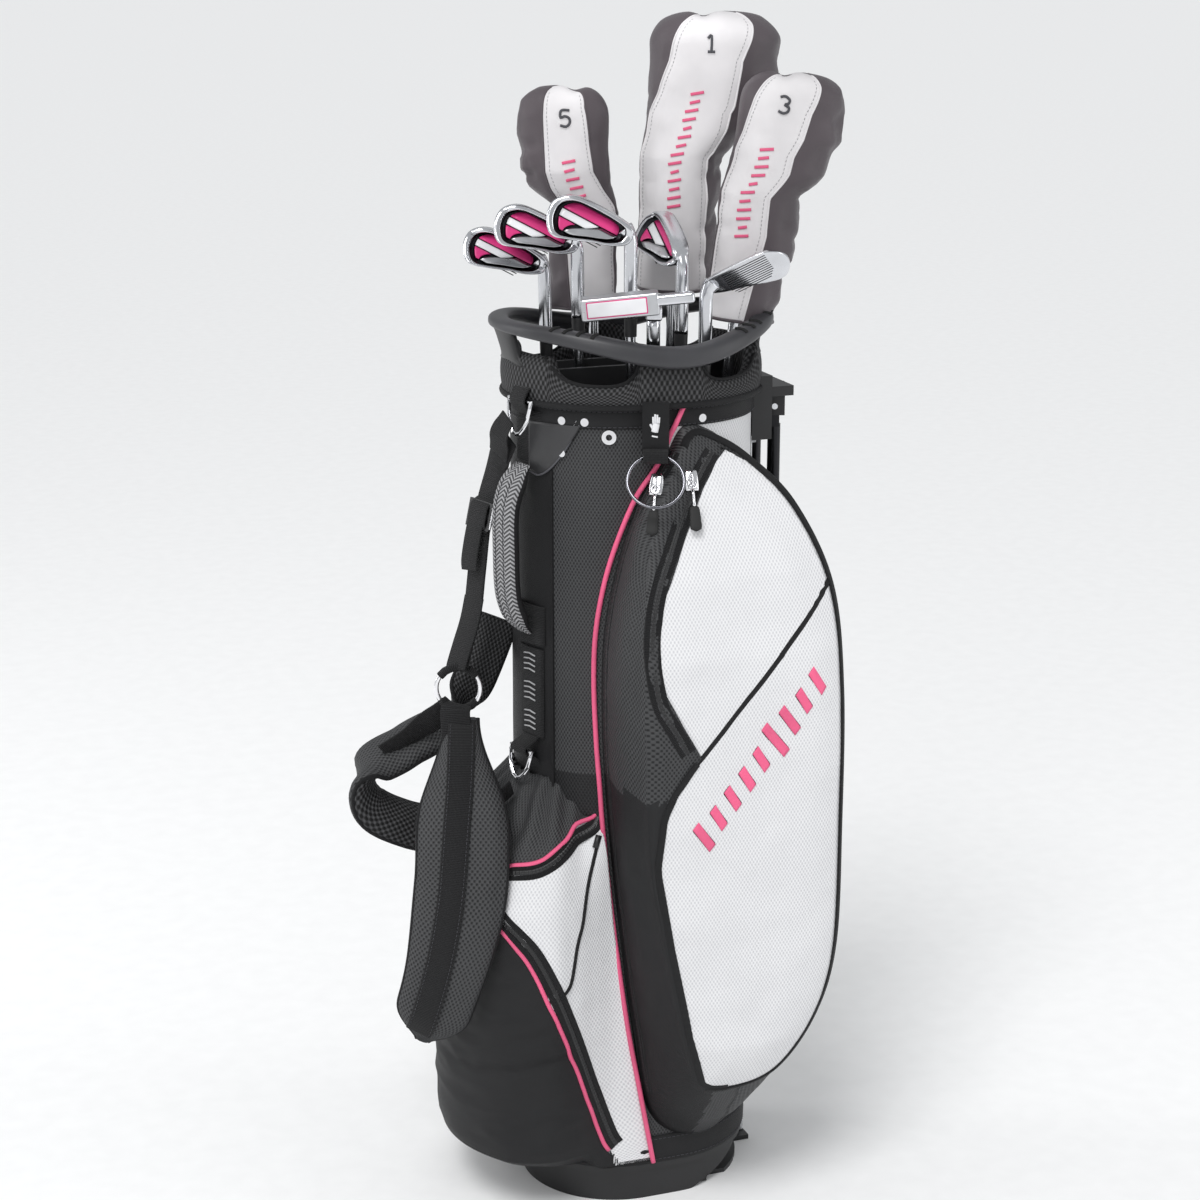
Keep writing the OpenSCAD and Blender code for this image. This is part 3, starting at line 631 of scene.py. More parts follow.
def decal(name, corners, tree, lift, body, slot, material, thick=0.9, toward=(0, 1, 0)):
    """A thin sewn patch with four corners in x and z, dropped on the cloth behind it."""
    a, b, c, d = (Vector(p) for p in corners)
    toward = Vector(toward)
    rows = []
    for i in range(11):
        row = []
        for j in range(6):
            s, t = i / 10, j / 5
            q = a.lerp(b, t).lerp(d.lerp(c, t), s)
            hit, _, _, _ = tree.ray_cast(Vector((q.x, -320, q.y)), toward)
            edge = 0.0 if i in (0, 10) or j in (0, 5) else 0.35
            row.append(hit - toward * (lift + edge))
        rows.append(row)
    return surface(name, rows, body, slot, [BY[material]], thick=thick, uv=lambda p: (p.x, p.z))


def oval(share, w, d):
    """Place on a round-ended oval, and its outward direction, from +X counter-clockwise."""
    r, flat = d / 2, w - d
    quarter = math.pi * r / 2
    s = (share % 1) * (4 * quarter + 2 * flat)
    if s < quarter:
        a, x = s / r, flat / 2
    elif s < quarter + flat:
        a, x = math.pi / 2, flat / 2 - (s - quarter)
    elif s < 3 * quarter + flat:
        a, x = (s - flat) / r, -flat / 2
    elif s < 3 * quarter + 2 * flat:
        a, x = 3 * math.pi / 2, s - 3 * quarter - flat - flat / 2
    else:
        a, x = (s - 2 * flat) / r, flat / 2
    out = Vector((math.cos(a), math.sin(a), 0))
    return Vector((x, 0, 0)) + out * r, out


def share_at(degrees, w=BAG_W, d=BAG_D):
    """Share of the way round at which the oval faces this direction."""
    r, flat = d / 2, w - d
    a = math.radians(degrees)
    s = a * r + (flat if degrees > 90 else 0) + (flat if degrees > 270 else 0)
    return s / (2 * math.pi * r + 2 * flat)


def on_skin(degrees, z, lift=0.0):
    """A point of the tube's skin, and the direction outward there."""
    p, out = oval(share_at(degrees), BAG_W, BAG_D)
    return p + out * lift + Vector((0, 0, z)), out


def between(pairs, t):
    """Straight-line value of a list of (place, value) pairs, in rising order of place."""
    if t <= pairs[0][0]:
        return pairs[0][1]
    for (a, x), (b, y) in zip(pairs, pairs[1:]):
        if t <= b:
            return x + (y - x) * (t - a) / (b - a)
    return pairs[-1][1]


def soft(p, size, seed=0.0):
    """A smooth unevenness from -1 to 1."""
    return noise.noise(Vector((p[0] / size + seed, p[1] / size, p[2] / size)))


def smoothstep(a, b, t):
    """0 before a and 1 after b, with a smooth rise between them."""
    t = min(1.0, max(0.0, (t - a) / (b - a)))
    return t * t * (3 - 2 * t)


# ---------------------------------------------------------------- the bag's skin

# The piping that runs down the tube: height, x.
PIPING = [(44, -13), (126, -28), (206, -42), (316, -56), (413, -65), (486, -69), (569, -72),
          (630, -69), (691, -57), (750, -35), (783, -12), (816, 3), (846, 17)]
# The side pocket's lower zip: x, height.
LOWER_ZIP = [(-215, 413), (-182, 337), (-149, 289), (-118, 214), (-69, 78), (-52, 44)]


def piping_x(z):
    """Where the pink line is at this height."""
    return between(PIPING, z)


def lower_zip_z(x):
    """Height of the ball pocket's zip."""
    return between(LOWER_ZIP, x)


def make_skin():
    """The fabric tube, with its faint folds."""
    rows = []
    columns = 240
    for k in range(203):
        z = 38 + k * 4.0
        row = []
        for j in range(columns):
            p, out = oval(j / columns, BAG_W, BAG_D)
            sink = 0.5 + 0.5 * soft((p.x, p.y, z * 0.4), 46)
            fold = 1.4 * smoothstep(780, 500, z) * max(0, soft((p.x, p.y, z * 0.15), 22, 7))
            row.append(p - out * (sink + fold) + Vector((0, 0, min(z, TUBE_TOP))))
        rows.append(row)

    def pick(c, i, j):
        if c.y < 0 and c.x > piping_x(c.z):
            return 1 if c.z > 650 and c.x < 108 and (c.x > 30 or c.z > 794) else 0
        if c.x < -102 and abs(c.y) < 60:
            return 2
        return 3 if c.z < 470 and c.y < 0 else 0

    return surface("bag_skin", rows, "bag", "shell_fabric",
                   [BY["charcoal"], BY["white"], BY["black"], BY["dark"]], thick=2.4, closed=True, pick=pick)


def ring_band(name, z, height, lift, thick, slot, material, w=BAG_W, d=BAG_D, bulge=0.0):
    """A band of tape right round the bag."""
    rows = []
    profile = [(-0.5, 0), (-0.5, 0.6), (-0.42, 1), (-0.2, 1 + bulge), (0, 1 + bulge * 1.4), (0.2, 1 + bulge),
               (0.42, 1), (0.5, 0.6), (0.5, 0)]
    for h, t in profile:
        row = []
        for j in range(200):
            p, out = oval(j / 200, w, d)
            row.append(p + out * (lift + t * thick) + Vector((0, 0, z + h * height)))
        rows.append(row)
    return surface(name, rows, "bag", slot, [material], closed=True)


def make_skin_trim():
    """Bindings, the pink line, the patch and the seams on the tube."""
    ring_band("collar_binding", 829, 19, 0, 2.0, "black_fabric", BY["black"])
    ring_band("base_skirt", 56, 30, 0, 2.0, "black_fabric", BY["black"], bulge=0.3)
    for name, z in (("collar_stitch", 821.5), ("collar_stitch_top", 836.5),
                    ("skirt_stitch", 68), ("skirt_stitch_low", 45)):
        path = [oval(j / 300, BAG_W + 4.4, BAG_D + 4.4)[0] + Vector((0, 0, z)) for j in range(300)]
        ups = [oval(j / 300, BAG_W, BAG_D)[1] for j in range(300)]
        stitches(name, path, ups, "bag", BY["grey_thread"])
    path, ups = [], []
    for p in even(curve([(x, 0, z) for z, x in reversed(PIPING)], 8), 4):
        proud = 1.6 + 3.4 * smoothstep(500, 450, p.z) + 1.8 * smoothstep(812, 822, p.z)
        path.append(Vector((p.x, tube_front(p.x, proud), p.z)))
        ups.append(Vector((0, -1, 0)))
    sweep("pink_line", path, ups, round_section(2.6, 10), "bag", "white_fabric", [BY["pink"]])
    # the leather-look patch under the collar, and its stitched edge
    edge = [(199, 770), (206, 768), (214, 776), (222, 792), (229, 812), (232, 822)]
    rows = []
    for k in range(25):
        degrees = 199 + 33 * k / 24
        low = between(edge, degrees)
        row = []
        for m in range(13):
            z = low + (822 - low) * m / 12
            p, out = on_skin(degrees, z)
            proud = 1.6 * smoothstep(0, 0.12, m / 12) + 0.1
            row.append(p + out * proud)
        rows.append(row)
    surface("collar_patch", rows, "bag", "black_fabric", [BY["leather"]], thick=1.2)
    path = curve([on_skin(a, z + 1, 1.2)[0] for a, z in edge], 6)
    ups = [Vector((p.x, p.y, 0)).normalized() for p in path]
    sweep("patch_edge", path, ups, round_section(1.1, 8), "bag", "black_fabric", [BY["grey_thread"]])
    path = curve([on_skin(a - 1.6, z + 5, 2.0)[0] for a, z in edge], 6)
    stitches("patch_stitch", path, ups, "bag", BY["thread"], 2.5, 1.5)
    # a dark seam that runs down the tube between the smooth back and the ripstop
    seam = [on_skin(214.8, z, 0.4)[0] for z in range(775, 440, -5)]
    ups = [Vector((p.x, p.y, 0)).normalized() for p in seam]
    sweep("side_seam", seam, ups, flat_section(3.0, 1.0), "bag", "black_fabric", [BY["binding"]])


# ---------------------------------------------------------------- large pocket

# The pocket's seam on the tube (x, height), and its outer edge (x, y, height), point for point.
SEAM = [(10, 818), (-10, 785), (-34, 748), (-52, 695), (-66, 620), (-68, 520), (-62, 410),
        (-53, 316), (-40, 206), (-20, 100), (30, 66), (84, 80), (112, 150), (118, 270),
        (119, 420), (118, 560), (112, 665), (92, 748), (62, 794), (36, 812)]
EDGE = [(22, -107, 812), (4, -116, 786), (-28, -140, 728), (-44, -162, 676),
        (-49, -174, 600), (-49, -178, 500), (-44, -178, 400), (-29, -178, 315),
        (-8, -176, 216), (14, -168, 158), (50, -162, 146), (98, -162, 160),
        (136, -168, 215), (155, -172, 290), (157, -174, 420), (156, -172, 560),
        (147, -160, 665), (116, -136, 742), (76, -117, 786), (46, -108, 806)]
# Left edge of the white face: place along EDGE, x, height. The rest follows EDGE.
WHITE_LEFT = [(0.0, 54, 795), (0.6, 42, 785), (1.2, 25, 763), (2.0, 0, 721), (3.0, -27, 671), (3.6, -37, 640),
              (4.0, -39, 605), (4.3, -35, 583), (4.65, -18, 548), (5.0, 2, 512), (5.12, -4, 504), (5.5, -24, 476),
              (5.8, -34, 452), (6.2, -39, 398), (7.0, -24, 315), (8.0, -3, 216), (9.0, 15, 158), (9.4, 26, 151)]
# Depth of the face's middle: height, y.
FACE_SLOPE = [(146, -176), (200, -186), (300, -187), (560, -187), (605, -184), (683, -164), (742, -138),
              (768, -126), (800, -113), (812, -109)]
POCKET_X = 53       # middle of the pocket across the bag


def tube_front(x, gap=0.0):
    """Depth of the tube's front, or a gap out from it."""
    flat, r = (BAG_W - BAG_D) / 2, BAG_D / 2
    out = max(0, abs(x) - flat)
    return -math.sqrt(max(1.0, r * r - out * out)) - gap


def pocket_ring_base():
    """The pocket's seam, its edge and the outline of its white face, point for point."""
    seam = curve([(x + (5.5 if x < 40 else 0), tube_front(x, -1.5), z) for x, z in SEAM], 12, closed=True)
    edge = curve(EDGE, 12, closed=True)
    last = len(EDGE) - 2
    line = []
    for k, e in enumerate(edge):
        place = k / 12
        if place <= WHITE_LEFT[-1][0]:
            x = between([(t, x) for t, x, z in WHITE_LEFT], place)
            z = between([(t, z) for t, x, z in WHITE_LEFT], place)
        elif place <= last:
            inward = Vector((POCKET_X - e.x, 0, (450 - e.z) * 0.35)).normalized()
            x, z = e.x + inward.x * 3.0, e.z + inward.z * 3.0
        else:
            a, b = line[-1] if place == last else line[last * 12], WHITE_LEFT[0][1:]
            t = (place - last) / 2
            x, z = a[0] + (b[0] - a[0]) * t, a[1] + (b[1] - a[1]) * t
        line.append((x, z))
    return seam, edge, line


class Face:
    """Height of the large pocket's face: a crown that rises from the pocket's edge."""

    def __init__(self, edge):
        self.flat = [Vector((p.x, p.z)) for p in edge]
        self.edge = edge

    def __call__(self, x, z):
        q = Vector((x, z))
        best = min(range(len(self.flat)), key=lambda k: (self.flat[k] - q).length_squared)
        d = (self.flat[best] - q).length
        rise = 1 - (1 - min(1, d / 62)) ** 3
        goal = between(FACE_SLOPE, z) - 4.5 * smoothstep(600, 700, z) * min(1, d / 40)
        y = self.edge[best].y + (goal - self.edge[best].y) * rise
        y += (1.7 * soft((x, 0, z), 62, 11) + 0.9 * soft((x, 0, z), 27, 5)) * min(1, d / 12)
        return max(y, FACE_Y)


def make_large_pocket():
    """The clothing pocket: its creased sides and its white face."""
    seam, edge, line = pocket_ring_base()
    face = Face(edge)
    white = [Vector((x, face(x, z), z)) for x, z in line]
    rows = []
    for s in [0, 0.1, 0.2, 0.32, 0.44, 0.56, 0.68, 0.8, 0.91, 1]:
        row = []
        for a, b in zip(seam, edge):
            side = Vector((b.x - POCKET_X, 0, (b.z - 450) * 0.5)).normalized()
            bulge = 4.5 * math.sin(math.pi * s) ** 2 * min(1, (a - b).length / 60)
            crease = 1.6 * soft(a.lerp(b, s), 22, 3) * math.sin(math.pi * s)
            row.append(a.lerp(b, s) + side * (bulge + crease))
        rows.append(row)
    for s in [0.3, 0.65, 1]:
        row = []
        for b, w in zip(edge, white):
            x, z = b.x + (w.x - b.x) * s, b.z + (w.z - b.z) * s
            row.append(Vector((x, face(x, z), z)))
        rows.append(row)

    def pick(c, i, j):
        return 1 if c.x < 30 and c.z < 470 else 0

    rows = [list(reversed(r)) for r in rows]
    side = surface("pocket_sides", rows, "bag", "shell_fabric", [BY["charcoal"], BY["black"]], thick=2.0,
                   closed=True, pick=pick, uv=lambda p: (p.x + (p.y if p.x < 60 else -p.y), p.z))
    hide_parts("apparel_pocket")
    n = len(white)
    top = max(range(n), key=lambda k: white[k].z)
    low = min(range(n), key=lambda k: white[k].z)
    left = [white[(top + k) % n] for k in range((low - top) % n + 1)]
    right = [white[(top - k) % n] for k in range((top - low) % n + 1)]
    left, right = even(left, 4.2), even(right, 4.2)
    count = max(len(left), len(right)) - 1

    def chain(path, share):
        k = share * (len(path) - 1)
        a = min(int(k), len(path) - 2)
        return path[a].lerp(path[a + 1], k - a)

    rows = []
    for i in range(count + 1):
        a, b = chain(left, i / count), chain(right, i / count)
        row = []
        for j in range(45):
            s = j / 44
            x, z = a.x + (b.x - a.x) * s, a.z + (b.z - a.z) * s
            row.append(a if j == 0 else b if j == 44 else Vector((x, face(x, z), z)))
        rows.append(row)
    panel = surface("pocket_face", rows, "bag", "white_fabric", [BY["white"]], thick=1.6,
                    uv=lambda p: (p.x, p.z))
    return side, panel


def make_pocket_trim(side, panel):
    """The large pocket's zips, bindings and stitches."""
    tree = tree_of(side, panel)
    middle = (POCKET_X, -40)
    seam, edge, line = pocket_ring_base()
    face = Face(edge)

    def on_face(path, lift):
        places, ups = [], []
        for p in path:
            q = Vector((p.x, face(p.x, p.z), p.z))
            dx = face(p.x + 3, p.z) - face(p.x - 3, p.z)
            dz = face(p.x, p.z + 3) - face(p.x, p.z - 3)
            up = Vector((dx / 6, -1, dz / 6)).normalized()
            places.append(q + up * lift)
            ups.append(up)
        return places, soften(ups, 2)

    # the zip beside the pink line
    run = [s.lerp(e, min(0.5, 10.0 / max(12, (e - s).length))) for s, e in zip(seam, edge)][9:9 * 12 - 2]
    path, ups = lay(even(run, 4), tree, 0.6, middle)
    zip_band("body_zip", path, ups, 15, "bag", "black_fabric")
    # the zip along the upper white panel, on the pocket's corner
    corner = []
    for e, w in zip(edge, line):
        q = Vector((w[0], face(*w), w[1]))
        share = min(0.5, 9.0 / max(1, (q - e).length))
        q = q.lerp(e, share)
        corner.append(Vector((q.x, face(q.x, q.z) if share < 0.5 else q.y, q.z)))
    upper = [c for k, c in enumerate(corner) if 4 <= k <= 52]
    tail = [Vector((x, 0, z)) for x, z in ((-40, 600), (-33, 572), (-20, 545), (-7, 521))]
    tail = [Vector((p.x - 5, face(p.x - 5, p.z - 3), p.z - 3)) for p in tail]
    path = even(curve(upper[::6][:-1] + tail[1:], 6), 4)
    ups = soften(lay(path, tree, 0, middle, 0)[1], 8)
    zip_band("panel_zip", [p + u * 0.8 for p, u in zip(path, ups)], ups, 17, "bag", "black_fabric")
    # bindings: left of the lower panel, round the pocket's edge, and the slanting band
    lower = [Vector((x, 0, z)) for k, (x, z) in enumerate(line) if 61 <= k <= 118]
    path, ups = on_face(even(lower, 4), 0.9)
    sweep("panel_binding", path, ups, flat_section(7, 2.0), "bag", "black_fabric", [BY["binding"]])
    start = next(i for i in range(len(edge)) if edge[i - 1].x <= 20 and edge[i].x > 20 and edge[i].z < 200)
    ring = even([edge[(start + k) % len(edge)] for k in range(len(edge) - start + 8)], 4)
    ups = [(Vector((p.x - POCKET_X, 0, (p.z - 480) * 0.5)).normalized() + Vector((0, -0.8, 0))).normalized()
           for p in ring]
    sweep("pocket_binding", ring, ups, flat_section(8, 2.8), "bag", "black_fabric", [BY["binding"]])
    slant = [Vector((-5, 0, 503)), Vector((70, 0, 588)), Vector((146, 0, 670))]
    path, ups = on_face(even(curve(slant, 6), 4), -0.2)
    sweep("slant_binding", path, ups, flat_section(6.5, 2.0), "bag", "black_fabric", [BY["binding"]])
    for k, shift in enumerate((-4.6, 4.6)):
        turn = Vector((slant[2].z - slant[0].z, 0, slant[0].x - slant[2].x)).normalized() * shift
        path, ups = on_face(even([p + turn for p in slant], 4), 0.1)
        stitches(f"slant_stitch_{k}", path, ups, "bag", BY["grey_thread"], 2.5, 2)
    make_motif(panel)


def make_motif(panel):
    """A plain row of slanting bars where the real bag has its lettering."""
    tree = tree_of(panel)
    a, b = Vector((6, 430)), Vector((124, 576))
    along = (b - a).normalized()
    up = Vector((-along.y, along.x))
    tall = (30, 23, 23, 23, 23, 38, 30, 23, 26)
    for k, height in enumerate(tall):
        centre = a.lerp(b, k / (len(tall) - 1))
        for name, grow, lift, material in (("motif_edge", 1.9, 1.4, "binding"), ("motif_bar", 0, 2.2, "pink")):
            half, reach = 4.8 + grow, height / 2 + grow
            lean = along * 4.0
            corners = [centre + along * sx * half + up * sy * reach + lean * sy
                       for sx, sy in ((-1, -1), (1, -1), (1, 1), (-1, 1))]
            decal(f"{name}_{k}", corners, tree, lift, "bag", "white_fabric", material)


# ---------------------------------------------------------------- side and ball pockets

REACH = [(44, 0.40), (46, 0.72), (60, 0.90), (95, 1.0), (300, 1.0), (355, 0.96), (405, 0.82), (462, 0.50)]
PLAN = [(-46, 99), (-70, 101), (-100, 104), (-155, 90), (-196, 52), (-208, 0), (-200, -52),
        (-172, -98), (-130, -116), (-100, -113), (-78, -107), (-58, -103), (-38, -103.2), (-20, -103.6), (-4, -103.6)]


REACH_TABLE = [(p.x, p.y) for p in curve([(z, s, 0) for z, s in REACH], 6)]


def side_surface(x, y, z, plain=False):
    """A point of the side pockets' skin, from its place on the plan outline and its height."""
    s = between(REACH_TABLE, z) if z > 60 else between(REACH, z)
    hug = smoothstep(-100, -62, x) if y < 0 else 0.0
    s = s + (1 - s) * hug * smoothstep(470, 380, z)
    px, py = -40 + s * (x + 40), s * y
    q = Vector((px, py, z))
    if plain:
        return q
    out = Vector((px + 60, py, 0)).normalized()
    free = 1 - 0.9 * hug
    gather = smoothstep(side_zip_z(px) - 2, side_zip_z(px) + 22, z)
    fold = 2.6 * gather * math.sin(math.atan2(py, px + 60) * 26 + 2 * soft(q, 60))
    if z < lower_zip_z(px):
        sag = 3.0 * abs(soft((px * 0.6, py * 0.6, z * 1.6), 34, 21)) * smoothstep(50, 90, z)
        sag += 1.8 * math.exp(-((z - 205 - 0.2 * px) / 5) ** 2) * smoothstep(-80, -120, px)
    else:
        sag = 1.6 * abs(soft(q, 42, 9))
    return q - out * (sag + 1.5 * gather) * free + out * fold * free


def side_zip_z(x):
    """Height of the upper zip where it lies on the gathered cloth."""
    return between([(-215, 383), (-190, 383), (-160, 384), (-130, 389), (-105, 402), (-85, 424), (-68, 445)], x)


def side_rows():
    """The pockets' skin in rows from the back, each drawn in to end at the pink line."""
    plan = even(curve([(x, y, 0) for x, y in PLAN], 8), 3.2)
    heights = [44, 45, 46, 49, 54, 60, 68, 78, 88] + [95 + 3.2 * k for k in range(115)]
    front = next(i for i, p in enumerate(plan) if p.y < -60 and p.x > -104)
    rows = []
    for z in heights:
        row = [side_surface(p.x, p.y, z) for p in plan]
        stop = piping_x(z) - 0.6
        last = next((i for i in range(front, len(row)) if row[i].x > stop), len(row) - 1)
        a, b = row[last - 1], row[last]
        end = a.lerp(b, min(1, max(0, (stop - a.x) / max(0.1, b.x - a.x))))
        tail = row[front:last] + [end] if last > front else [a, end]
        count = len(row) - front - 1
        length = sum((q - p).length for p, q in zip(tail, tail[1:]))
        rows.append(row[:front] + even(tail, max(0.01, length / count))[:count + 1])
    return rows


def make_side_pockets():
    """The white side pocket with its grey top, and the black ball pocket under it."""
    rows = side_rows()

    def high(c):
        return c.z > (388 if c.y > 0 else lower_zip_z(c.x) + 1) and c.z > 46

    upper = surface("side_pocket_cloth", rows, "bag", "white_fabric", [BY["white"], BY["charcoal"]], thick=-1.2,
                    keep=lambda c, i, j: high(c))
    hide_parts("side_pocket")
    lower = surface("ball_pocket_cloth", rows, "bag", "black_fabric", [BY["black"]], thick=-1.2,
                    keep=lambda c, i, j: c.z < (394 if c.y > 0 else lower_zip_z(c.x) + 7) or c.z <= 46)
    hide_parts("ball_pocket")
    return upper, lower


def make_side_trim(upper, lower):
    """Piping, zips, cord and hems of the two side pockets."""
    tree = tree_of(upper, lower)
    middle = (-60, 0)
    line = curve([(-60, 100, 391), (-100, 103, 391), (-155, 90, 391), (-196, 52, 391), (-208, 0, 391),
                  (-204, -34, 391), (-190, -70, 391), (-167, -99, 392), (-136, -112, 397),
                  (-105, -106, 412), (-85, -103, 433), (-69, -103, 455)], 8)
    path, ups = lay(even(line, 4), tree, 1.2, middle)
    sweep("side_piping", path, ups, round_section(2.3, 10), "bag", "white_fabric", [BY["pink"]])
    # the cloth changes colour under the piping
    front = sorted((p.x, p.z) for p in path if p.y < 0)
    for face in upper.data.polygons:
        c = face.center / MM
        face.material_index = 1 if c.z > between(front, c.x) - 2 or c.y > 0 else 0
    path, ups = lay([p - Vector((-2.4, 0, 10)) for p in even(line, 4)], tree, 0.6, middle)
    zip_band("side_zip", path, ups, 15, "bag", "black_fabric")
    line = curve([(-206, -10, 388), (-198, -52, 370), (-182, -86, 337), (-149, -110, 289), (-118, -114, 214),
                  (-92, -110, 142), (-69, -104, 78), (-62, -103, 66)], 8)
    path, ups = lay(even(line, 4), tree, 1.4, middle)
    sweep("ball_piping", path, ups, round_section(2.3, 10), "bag", "white_fabric", [BY["pink"]])
    path, ups = lay([p + Vector((9.5, 0, 4)) for p in even(line, 4)], tree, 0.6, middle)
    zip_band("ball_zip", path, ups, 17, "bag", "black_fabric")
    line = curve([(-73, -106, 412), (-80, -108, 380), (-88, -110, 344), (-92, -111, 324), (-98, -112, 303),
                  (-103, -113, 276), (-108, -113, 259), (-120, -114, 248)], 8)
    path, ups = lay(even(line, 3), tree, 1.4, middle)
    sweep("side_cord", path, ups, round_section(1.8, 8), "bag", "black_fabric", [BY["webbing"]])
    toggle = [Vector(p) for p in ((-73, -106, 414), (-75, -107, 407), (-77, -107, 400))]
    path, ups = lay(toggle, tree, 1.6, middle)
    sweep("cord_toggle", path, ups, round_section(3.2, 12), "bag", "black_fabric", [BY["plastic"]])
    for name, z in (("ball_hem", 64), ("ball_hem_low", 59)):
        hem = curve([(-126, 96, z), (-186, 56, z), (-202, 0, z), (-190, -58, z), (-128, -112, z),
                     (-76, -103, z)], 8)
        path, ups = lay(even(hem, 4), tree, 0.3, middle)
        stitches(name, path, ups, "bag", BY["grey_thread"])


def rim_height(a):
    """Height of the rim's middle: high at the ends, in a deep wave at the front and back."""
    turn = math.degrees(a) % 360
    dip = max(math.exp(-((turn - 274) / 37) ** 2), math.exp(-((turn - 90) / 37) ** 2))
    return 911 - 21.5 * dip


def window_depth(x, y):
    """How deep the cuff is cut at a finger window, from 0 to 1."""
    if abs(y) < 40:
        return 0.0
    side = abs(abs(x) - 70) / 38
    return math.sqrt(max(0.0, 1 - min(1, side) ** 3.2))


# ---------------------------------------------------------------- collar and rim

def make_collar():
    """The padded cuff of air mesh, cut away at the four finger windows."""
    columns = 420
    rows = [[] for _ in range(22)]
    for j in range(columns):
        p, out = oval(j / columns, COLLAR_W, COLLAR_D)
        q, _ = oval(j / columns, MOUTH_W, MOUTH_D)
        depth = window_depth(p.x, p.y)
        tall = 886 + 4 * smoothstep(30, 10, abs(p.x)) * (abs(p.y) > 60)
        top = tall - (tall - 861) * depth
        puff = 1.2 * (1 - depth)
        pts = [p - out * 5 + Vector((0, 0, 839)), p + out * 0.4 + Vector((0, 0, 838.5)),
               p + out * 1.6 + Vector((0, 0, 842))]
        for k in range(1, 8):
            s = k / 7
            bulge = (1.4 + puff) * math.sin(math.pi * s) ** 0.7 + 0.3
            pts.append(p + out * bulge + Vector((0, 0, 842 + (top - 8 - 842) * s)))
        mid, half = (p + q) / 2, (p - q).length / 2
        for k in range(1, 8):
            a = math.pi * k / 8
            pts.append(mid + out * (half * math.cos(a)) + Vector((0, 0, top - 8 + 8 * math.sin(a))))
        pts += [q + Vector((0, 0, z)) for z in (top - 8, (top + 820) / 2, 825, 800, 790)]
        for row, point in zip(rows, pts):
            row.append(point)
    collar = surface("collar_cuff", rows, "bag", "mesh_fabric", [BY["mesh"], BY["lining"]], closed=True,
                     pick=lambda c, i, j: 1 if i > 18 else 0)
    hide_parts("top_collar")
    tree = tree_of(collar)
    for k, (sx, sy) in enumerate(((-1, -1), (1, -1), (-1, 1), (1, 1))):
        pts = []
        for m in range(41):
            x = sx * 70 + 38 * (m / 20 - 1)
            y = sy * (abs(tube_front(x)) + 2)
            t = 886 - 25 * window_depth(x, y)
            pts.append(Vector((x, y, t)))
        path, ups = lay(even(pts, 3), tree, 0.4, (0, 0), 4)
        sweep(f"window_edge_{k}", path, ups, round_section(1.8, 8), "bag", "mesh_fabric", [BY["binding"]])
    ring_band("cuff_edge", 841, 6, 7.0, 2.2, "mesh_fabric", BY["binding"], bulge=0.3)
    return collar


def rim_point(a, grow=0.0):
    """A point of the middle of the rim."""
    return Vector(((COLLAR_W / 2 + 5 + grow) * math.cos(a),
                   (COLLAR_D / 2 + 5 + grow) * math.sin(a), rim_height(a)))


def make_rim():
    """The wavy soft-touch handle round the top, with its posts and vents."""
    steps, n = 216, 24
    rows = []
    for i in range(steps):
        a = 2 * math.pi * i / steps
        c = rim_point(a)
        out = Vector((c.x / (COLLAR_W / 2), c.y / (COLLAR_D / 2), 0)).normalized()
        dip = abs(math.sin(a)) ** 2
        tall, wide = 5.6 + 4.6 * dip, 10 + 1.0 * dip
        row = []
        for k in range(n):
            x, z = squarish(2 * math.pi * k / n, wide, tall)
            lean = 1.6 * dip * (z / tall)
            row.append(c + out * (x - lean) + Vector((0, 0, z - 1.5 * dip)))
        rows.append(row)
    rim = surface("rim_handle", rows, "bag", "rim_plastic", [BY["rim"]], closed=True, loop=True)
    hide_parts("throat_handle")
    for k, degrees in enumerate((0, 180)):
        sign = 1 if degrees == 0 else -1
        rows = []
        for s in range(11):
            share = s / 10
            row = []
            for m in range(32):
                flare = 1 + 0.5 * (2 * share - 1) ** 4
                centre = Vector((sign * (COLLAR_W / 2 - 6 + 11 * share), 0, 874 + 36 * share))
                x, y = squarish(2 * math.pi * m / 32, 6.5, 24 * flare, 0.8, 0.8)
                row.append(centre + Vector((x, y, 0)))
            rows.append(row)
        surface(f"rim_post_{k}", rows, "bag", "rim_plastic", [BY["plastic"]], closed=True, caps=True)
    for k, sign in enumerate((-1, 1)):
        rows = []
        for s in range(7):
            share = s / 6
            row = []
            for m in range(32):
                t = 2 * math.pi * m / 32
                y = sign * (COLLAR_D / 2 - 7 + 10 * share)
                wide = 26 + 12 * share ** 2
                row.append(Vector((wide * math.cos(t), y + 5 * math.sin(t), 876 + 10 * share)))
            rows.append(row)
        surface(f"rim_foot_{k}", rows, "bag", "rim_plastic", [BY["rim"]], closed=True, caps=True)
    for k, centre in enumerate((219, 225, 231, 237, 305, 311, 317, 333, 339, 345)):
        a = math.radians(centre)
        c = rim_point(a)
        out = Vector((c.x, c.y, 0)).normalized()
        dip = abs(math.sin(a)) ** 2
        tall, wide = 5.6 + 4.6 * dip, 10 + 1.0 * dip
        path = []
        for m in range(9):
            x, z = squarish(math.radians(38 + 64 * m / 8), wide, tall)
            slip = Vector((-out.y, out.x, 0)) * (1.6 * (m / 8 - 0.5))
            path.append(c + out * (x - 1.6 * dip * z / tall) + Vector((0, 0, z - 1.5 * dip)) + slip)
        tube(f"rim_vent_{k}", path, 2.0, "bag", "rim_plastic", BY["window"], 8)


# ---------------------------------------------------------------- straps, handle, pads

def club_turn(degrees):
    """A turn about the vertical."""
    return Matrix.Rotation(math.radians(degrees), 3, "Z")


SPINE = 195


def on_spine(r, across, z):
    """A point on the handle's side of the tube: out, across and up."""
    return club_turn(SPINE) @ Vector((r, across, z))


